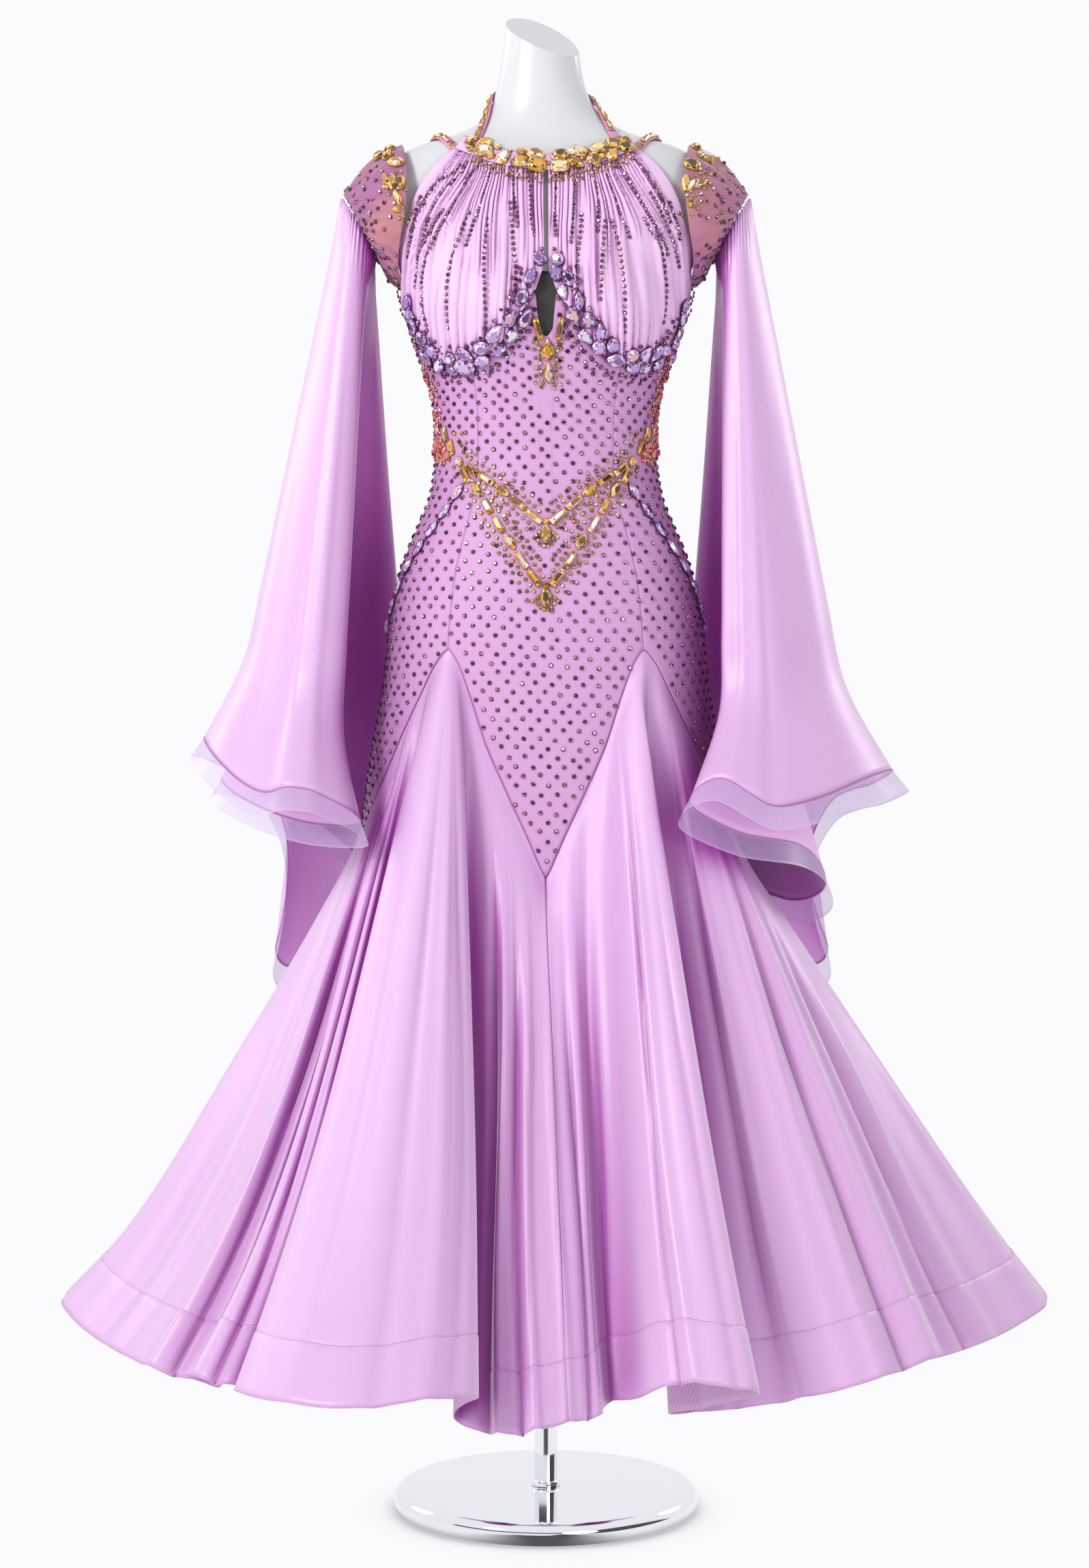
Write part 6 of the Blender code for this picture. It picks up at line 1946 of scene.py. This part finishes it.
NECK_SET = [
    Placed("oval", 821, 227, 16.5, 11.5, 15), Placed("square", 821, 244, 16.5, 11.5, -5),
    Placed("square", 849, 222, 14.0, 11.5, -10), Placed("drop", 844, 239, 16.0, 10.5, -25),
    Placed("oval", 877, 217, 14.5, 10.5, 10), Placed("drop", 872, 235, 15.5, 11.0, -75),
    Placed("square", 898, 210, 14.0, 9.5, 0), Placed("drop", 898, 226, 13.0, 10.5, 60),
    Placed("marquise", 917, 217, 16.0, 9.0, -10), Placed("oval", 915, 207, 11.0, 6.5, 20),
    Placed("oval", 785, 226, 16.5, 11.5, -20), Placed("square", 787, 242, 16.5, 13.5, -10),
    Placed("square", 758, 220, 15.0, 8.5, 5), Placed("square", 763, 237, 12.0, 11.0, 0),
    Placed("oval", 733, 214, 14.0, 8.5, -20), Placed("drop", 738, 230, 17.0, 11.5, 50),
    Placed("oval", 712, 209, 15.0, 8.5, 10), Placed("square", 710, 221, 14.0, 11.0, 10),
    Placed("marquise", 693, 216, 12.0, 7.0, -10), Placed("marquise", 690, 207, 11.0, 5.5, 10),
]


def neckband(materials):
    x, z = sampled([EdgePoint(p.x * 1.08, p.z) for p in NECKLINE], 40)
    angle = angle_at(np.concatenate([-x[::-1], x[1:]]), np.concatenate([z[::-1], z[1:]]))
    height = np.concatenate([z[::-1], z[1:]]) - 0.004
    line, normal = fitted_line(angle, height, GATHERS_LIFT + OUTER)
    made, grid = strip("neckband_cloth", line, normal, NECKBAND_WIDTH * 0.86, materials["gathered"])
    declare(made, "neckband",
            "stretch_knit")
    COVER.add(grid, outward_normals(grid, False))
    jewels = Jewels(121)
    set_stones(jewels, NECK_SET, 0.0052, grow=1.16)
    for column in range(690, 922, 7):
        away = abs(column - NECK_COLUMN)
        for lane, size in ((0, 0.0044), (1, 0.0040)):
            row = 257 - 0.0022 * away**2 + 7 * lane + 2.5 * math.sin(column * 1.3 + lane)
            jewels.seen(column + 3 * lane, row, size, 0.0019)
    random = np.random.default_rng(122)
    for k, column in enumerate(range(692, 917, 9)):
        away = abs(column - NECK_COLUMN)
        if away < 9:
            continue
        row = 233 - 0.0018 * away**2 + (8 if k % 2 else -8)
        kind = ("oval", "drop", "square")[k % 3]
        set_stones(jewels, [Placed(kind, column, row, 9.5, 7.0, random.uniform(0, 180))], 0.0036)
    for column in range(688, 918, 4):
        row = 230 - 0.0018 * abs(column - NECK_COLUMN) ** 2 + random.uniform(-17, 17)
        jewels.seen(column, row, 0.0042, 0.0030)
    jewels.build("gold_neckband", materials, GOLDEN, slot="gold_stones")


def straps(materials, tree):
    """The neck strap and the shoulder straps, laid on the form."""
    half = [Vector(p) for p in NECK_STRAP]
    whole = half + [Vector((-p.x, p.y, p.z)) for p in half[-2::-1]]
    routes = [("neck_strap", whole)]
    for name, side in SIDES:
        routes.append((f"shoulder_strap_{name}", [(side * x, y, z) for x, y, z in SHOULDER_STRAP]))
    for name, route in routes:
        laid, out = on_form(tree, route, STRAP_LIFT, 60)
        for _ in range(4):
            laid[1:-1] = (laid[:-2] + laid[1:-1] * 2 + laid[2:]) / 4
        made, grid = strip(name + "_cloth", laid, out, STRAP_WIDTH, materials["strap"])
        declare(made, name, "stretch_knit")
        strap_stones(name, laid, out, materials)


def strap_stones(name, line, normal, materials):
    """Gold baguettes and small stones down the middle of a strap."""
    jewels = Jewels(131)
    length = lengths_along(line[:, None], 0)[:, 0]
    at = 0.006
    while at < length[-1] - 0.008:
        place, out = (at_length(rows, length, at) for rows in (line, normal))
        along = at_length(line, length, at + 0.003) - at_length(line, length, at - 0.003)
        jewels.add("baguette", place + out * (OUTER + 0.0004), out, along, 0.0125, 0.0046, 0.0034, 1)
        joint = at_length(line, length, at + 0.0094) + out * (OUTER + 0.0004)
        across = np.cross(out, along / np.linalg.norm(along))
        for turn in (-0.0020, 0.0020):
            jewels.small(joint + across * turn, out, 0.0034, 0.0016)
        at += 0.0190
    jewels.build(f"gold_{name}", materials, GOLDEN, slot="gold_stones")


# The form and its stand.


FORM_COLUMNS = 144


def smooth_form(materials):
    """The form's own surface, finely turned, with its neck cut off on a slant."""
    angles = np.linspace(0, 360, FORM_COLUMNS, endpoint=False)
    heights = np.concatenate([np.linspace(0.800, 1.36, 110), np.linspace(1.364, 1.56, 70)])
    grid = np.stack([on_section(FORM_TABLE, angles, z) for z in heights])
    grid[..., 0] += NECK_LEAN * monotone([1.40, 1.43, 1.47, 1.56], [0, 0.5, 1, 1], heights)[:, None]
    points = grid.reshape(-1, 3)
    normal = outward_normals(grid, True).reshape(-1, 3)
    faces = faces_outward(points, quads_of(*grid.shape[:2], around=True), normal).tolist()
    faces.append(list(range(FORM_COLUMNS)))
    faces.append(list(range(len(points) - FORM_COLUMNS, len(points)))[::-1])
    made = mesh_object("smooth_form", points, faces, [materials["lacquer"]])
    cut_off(made.data, NECK_CUT_POINT, NECK_CUT_NORMAL)
    made.data.set_sharp_from_angle(angle=math.radians(40))
    rounded = made.modifiers.new("rounded cut", "BEVEL")
    rounded.width = 0.0025
    rounded.segments = 3
    rounded.angle_limit = math.radians(40)
    return on_part(made, "form_lacquer", "dress_form")


def lathe(name, profile, material, columns=64, nodes=()):
    """A shape turned about the upright axis from (radius, height) points, closed at both ends."""
    turn = np.arange(columns) * 2 * math.pi / columns
    grid = np.array([[(r * math.cos(a), r * math.sin(a), z) for a in turn] for r, z in profile])
    points = grid.reshape(-1, 3)
    normal = from_axis(grid).reshape(-1, 3)
    faces = faces_outward(points, quads_of(len(profile), columns, around=True), normal).tolist()
    faces += [list(range(columns))[::-1], list(range(len(points) - columns, len(points)))]
    made = mesh_object(name, points, faces, [material])
    made.data.set_sharp_from_angle(angle=math.radians(35))
    on_part(made, "chrome", *nodes)


def stand(materials):
    """The round base, the pole, and a collar where the pole enters the base."""
    rim = BASE_THICKNESS / 2
    turn = np.radians(np.linspace(-90, 90, 25))
    disc = [(BASE_RADIUS - rim + rim * math.cos(a), rim + rim * math.sin(a)) for a in turn]
    lathe("chrome_base", disc, materials["chrome"], 128, ["stand_base"])
    foot = BASE_THICKNESS + TOUCH
    pole = [(POLE_RADIUS, foot), (POLE_RADIUS, FORM_BOTTOM - TOUCH)]
    lathe("chrome_pole", pole, materials["chrome"], nodes=["stand_pole"])
    ring = [(0.0002, 0.0), (0.0028, 0.0), (0.0030, 0.003), (0.0022, 0.005), (0.0002, 0.0055)]
    lathe("chrome_collar", [(POLE_RADIUS + out, foot + up) for out, up in ring], materials["chrome"])


def keyhole_shade(materials):
    """A small piece of near-black mesh behind the keyhole, just off the form: painted shade inside the keyhole.
    """
    rows = []
    for z in np.linspace(1.196, 1.262, 14):
        half = 0.020 * math.sin(math.pi * (z - 1.190) / 0.078) + 0.001
        rows.append([on_section(FORM_TABLE, angle_at(x, z), z) for x in np.linspace(-half, half, 12)])
    grid = np.array(rows)
    grid = grid + outward_normals(grid, False) * 0.0016
    made = cloth_sheet("keyhole_shade_sheet", grid, [materials["painted_keyhole_shade"]], thickness=0.0004)
    on_part(made, "stretch_knit")


# The studio.

def camera():
    data = bpy.data.cameras.new("camera")
    data.sensor_fit = "VERTICAL"
    data.sensor_height = SENSOR
    data.lens = FOCAL_PIXELS * SENSOR / PHOTO_HEIGHT
    data.shift_x = (PHOTO_WIDTH / 2 - MIDDLE_PIXEL) / PHOTO_HEIGHT
    made = bpy.data.objects.new("camera", data)
    made.location = CAMERA_PLACE
    made.rotation_euler = (math.radians(90 - CAMERA_TILT), 0.0, 0.0)
    bpy.context.scene.collection.objects.link(made)
    bpy.context.scene.camera = made


Lamp = namedtuple("Lamp", "name place target size power")
LAMPS = [
    Lamp("key", (-2.5, -2.7, 2.8), (0, 0, 0.9), 1.1, 90.0),
    Lamp("fill", (1.6, -3.4, 1.2), (0, 0, 0.8), 1.8, 19.0),
    Lamp("rim_left", (-2.4, 1.6, 1.8), (0, 0, 0.8), 1.2, 12.0),
    Lamp("rim_right", (2.4, 1.6, 1.8), (0, 0, 0.8), 1.2, 16.0),
]


def lights():
    for lamp in LAMPS:
        data = bpy.data.lights.new(lamp.name, "AREA")
        data.shape = "DISK"
        data.size = lamp.size
        data.energy = lamp.power
        made = bpy.data.objects.new(lamp.name, data)
        made.location = lamp.place
        way = Vector(lamp.target) - Vector(lamp.place)
        made.rotation_euler = way.to_track_quat("-Z", "Y").to_euler()
        bpy.context.scene.collection.objects.link(made)


def background(tree, colour, strength=1.0):
    made = node(tree, "ShaderNodeBackground")
    made.inputs[1].default_value = strength
    if isinstance(colour, tuple):
        made.inputs[0].default_value = (*colour, 1.0)
    else:
        tree.links.new(colour, made.inputs[0])
    return made.outputs[0]


def for_rays(tree, kind, others, these):
    """One shader for rays of this kind, and another for all others."""
    rays = node(tree, "ShaderNodeLightPath")
    made = node(tree, "ShaderNodeMixShader")
    for socket, value in zip(made.inputs, (rays.outputs[kind], others, these)):
        tree.links.new(value, socket)
    return made.outputs[0]


def world():
    """A white studio. Only reflections see its dark band and its dark streak."""
    made = bpy.data.worlds.new("studio")
    bpy.context.scene.world = made
    made.use_nodes = True
    tree = made.node_tree
    tree.nodes.clear()
    place = node(tree, "ShaderNodeTexCoord")
    right, back, up = separated(tree, place.outputs["Generated"])
    ahead = maths(tree, "SUBTRACT", maths(tree, "MULTIPLY", right, 0.80), maths(tree, "MULTIPLY", back, 0.60))
    inside = maths(tree, "SUBTRACT", ahead, maths(tree, "MULTIPLY", maths(tree, "ABSOLUTE", up), 0.5))
    band = ranged(tree, inside, 0.58, 0.68)
    above = maths(tree, "ABSOLUTE", maths(tree, "SUBTRACT", up, 0.36))
    streak = maths(tree, "MULTIPLY", maths(tree, "LESS_THAN", above, 0.07),
                   maths(tree, "LESS_THAN", back, -0.25))
    shade = mixed(tree, maths(tree, "MAXIMUM", band, streak), (0.93, 0.93, 0.96), (0.08, 0.08, 0.09))
    lit = background(tree, (0.98, 0.98, 1.0), 0.46)
    hidden = for_rays(tree, "Is Glossy Ray", lit, background(tree, shade))
    seen = background(tree, (0.965, 0.965, 0.985))
    out = node(tree, "ShaderNodeOutputWorld")
    tree.links.new(for_rays(tree, "Is Camera Ray", hidden, seen), out.inputs[0])


def floor():
    """A pale floor that glows evenly, with painted shadow close under what stands on it, and a dark strip that
    only reflections see.
    """
    size = 30.0
    points = [(-size, -size, 0.0), (size, -size, 0.0), (size, size, 0.0), (-size, size, 0.0)]
    made, tree, _ = new_material("pale_floor")
    occlusion_shade = node(tree, "ShaderNodeAmbientOcclusion", samples=8)
    put(occlusion_shade, Distance=0.10)
    shade = ranged(tree, occlusion_shade.outputs["AO"], 0.2, 1.0)
    # Painted shadow: the glow darkens to grey where ambient occlusion finds something standing close.
    colour = mixed(tree, shade, (0.55, 0.55, 0.57), (0.965, 0.965, 0.985))
    place = node(tree, "ShaderNodeTexCoord")
    right, back, _ = separated(tree, place.outputs["Object"])
    inside = maths(tree, "SUBTRACT", maths(tree, "MULTIPLY", back, -0.42), maths(tree, "ABSOLUTE", right))
    rays = node(tree, "ShaderNodeLightPath")
    mirrored = maths(tree, "MULTIPLY", ranged(tree, inside, -0.05, 0.06), rays.outputs["Is Glossy Ray"])
    glow = node(tree, "ShaderNodeEmission")
    tree.links.new(mixed(tree, mirrored, colour, (0.10, 0.10, 0.105)), glow.inputs[0])
    tree.links.new(glow.outputs[0], tree.nodes["Material Output"].inputs[0])
    mesh_object("floor", points, [(0, 1, 2, 3)], [made])


def main():
    bpy.context.scene.view_settings.view_transform = "Standard"
    materials = {
        # reach, closed and clear set each cloth's painted shade in its folds; the sleeves' long reach paints
        # shade where a sleeve hangs near the body.
        "satin": cloth_material(SATIN, shine_across=0.3, reach=0.06, closed=0.35, clear=0.97),
        "inside": faced_inside_material(),
        "satin_sleeve": cloth_material(SATIN._replace(name="sleeve_satin"), wrinkle=0.0004, reach=0.30,
                                       closed=0.35, clear=0.82),
        "inside_sleeve": cloth_material(INSIDE._replace(name="sleeve_inside"), reach=0.03),
        "stretch": cloth_material(STRETCH, wrinkle=0.0003),
        "gathered": cloth_material(GATHERED, wrinkle=0.0004, reach=0.016, closed=0.25, clear=0.95),
        "strap": cloth_material(STRAP, wrinkle=0.0002),
        "sheer": sheer_material(),
        "braid": braid_material(),
        "seam": stitch_material(),
        "thread": stitch_material(),
        "gold": gem_material(GOLD),
        "violet": gem_material(VIOLET),
        "plum": gem_material(PLUM),
        "spark": gem_material(SPARK),
        "coral": gem_material(CORAL),
        "brass": setting_material("brass_setting", (0.78, 0.44, 0.09)),
        # The violet and plum stones' setting: its dark violet is painted shade round those stones.
        "shade_dark_foil": setting_material("shade_dark_setting", (0.24, 0.09, 0.28)),
        "lacquer": lacquer_material(),
        "chrome": chrome_material(),
        "painted_keyhole_shade": keyhole_shade_material(),
    }
    camera()
    lights()
    world()
    floor()
    form = smooth_form(materials)
    tree = surface_tree(form)
    stand(materials)
    body_panels(materials)
    bust_cups(materials)
    skirt(materials)
    caps = sleeves(materials)
    cup_stones(materials)
    scattered_body(materials)
    for name, (cap, turns, side) in caps.items():
        cap_stones(name, cap, turns, side, materials)
    belts(materials)
    hip_chains(materials)
    underbust_trims(materials)
    pendant(materials)
    neckband(materials)
    straps(materials, tree)
    keyhole_shade(materials)


main()
bpy.context.view_layer.update()
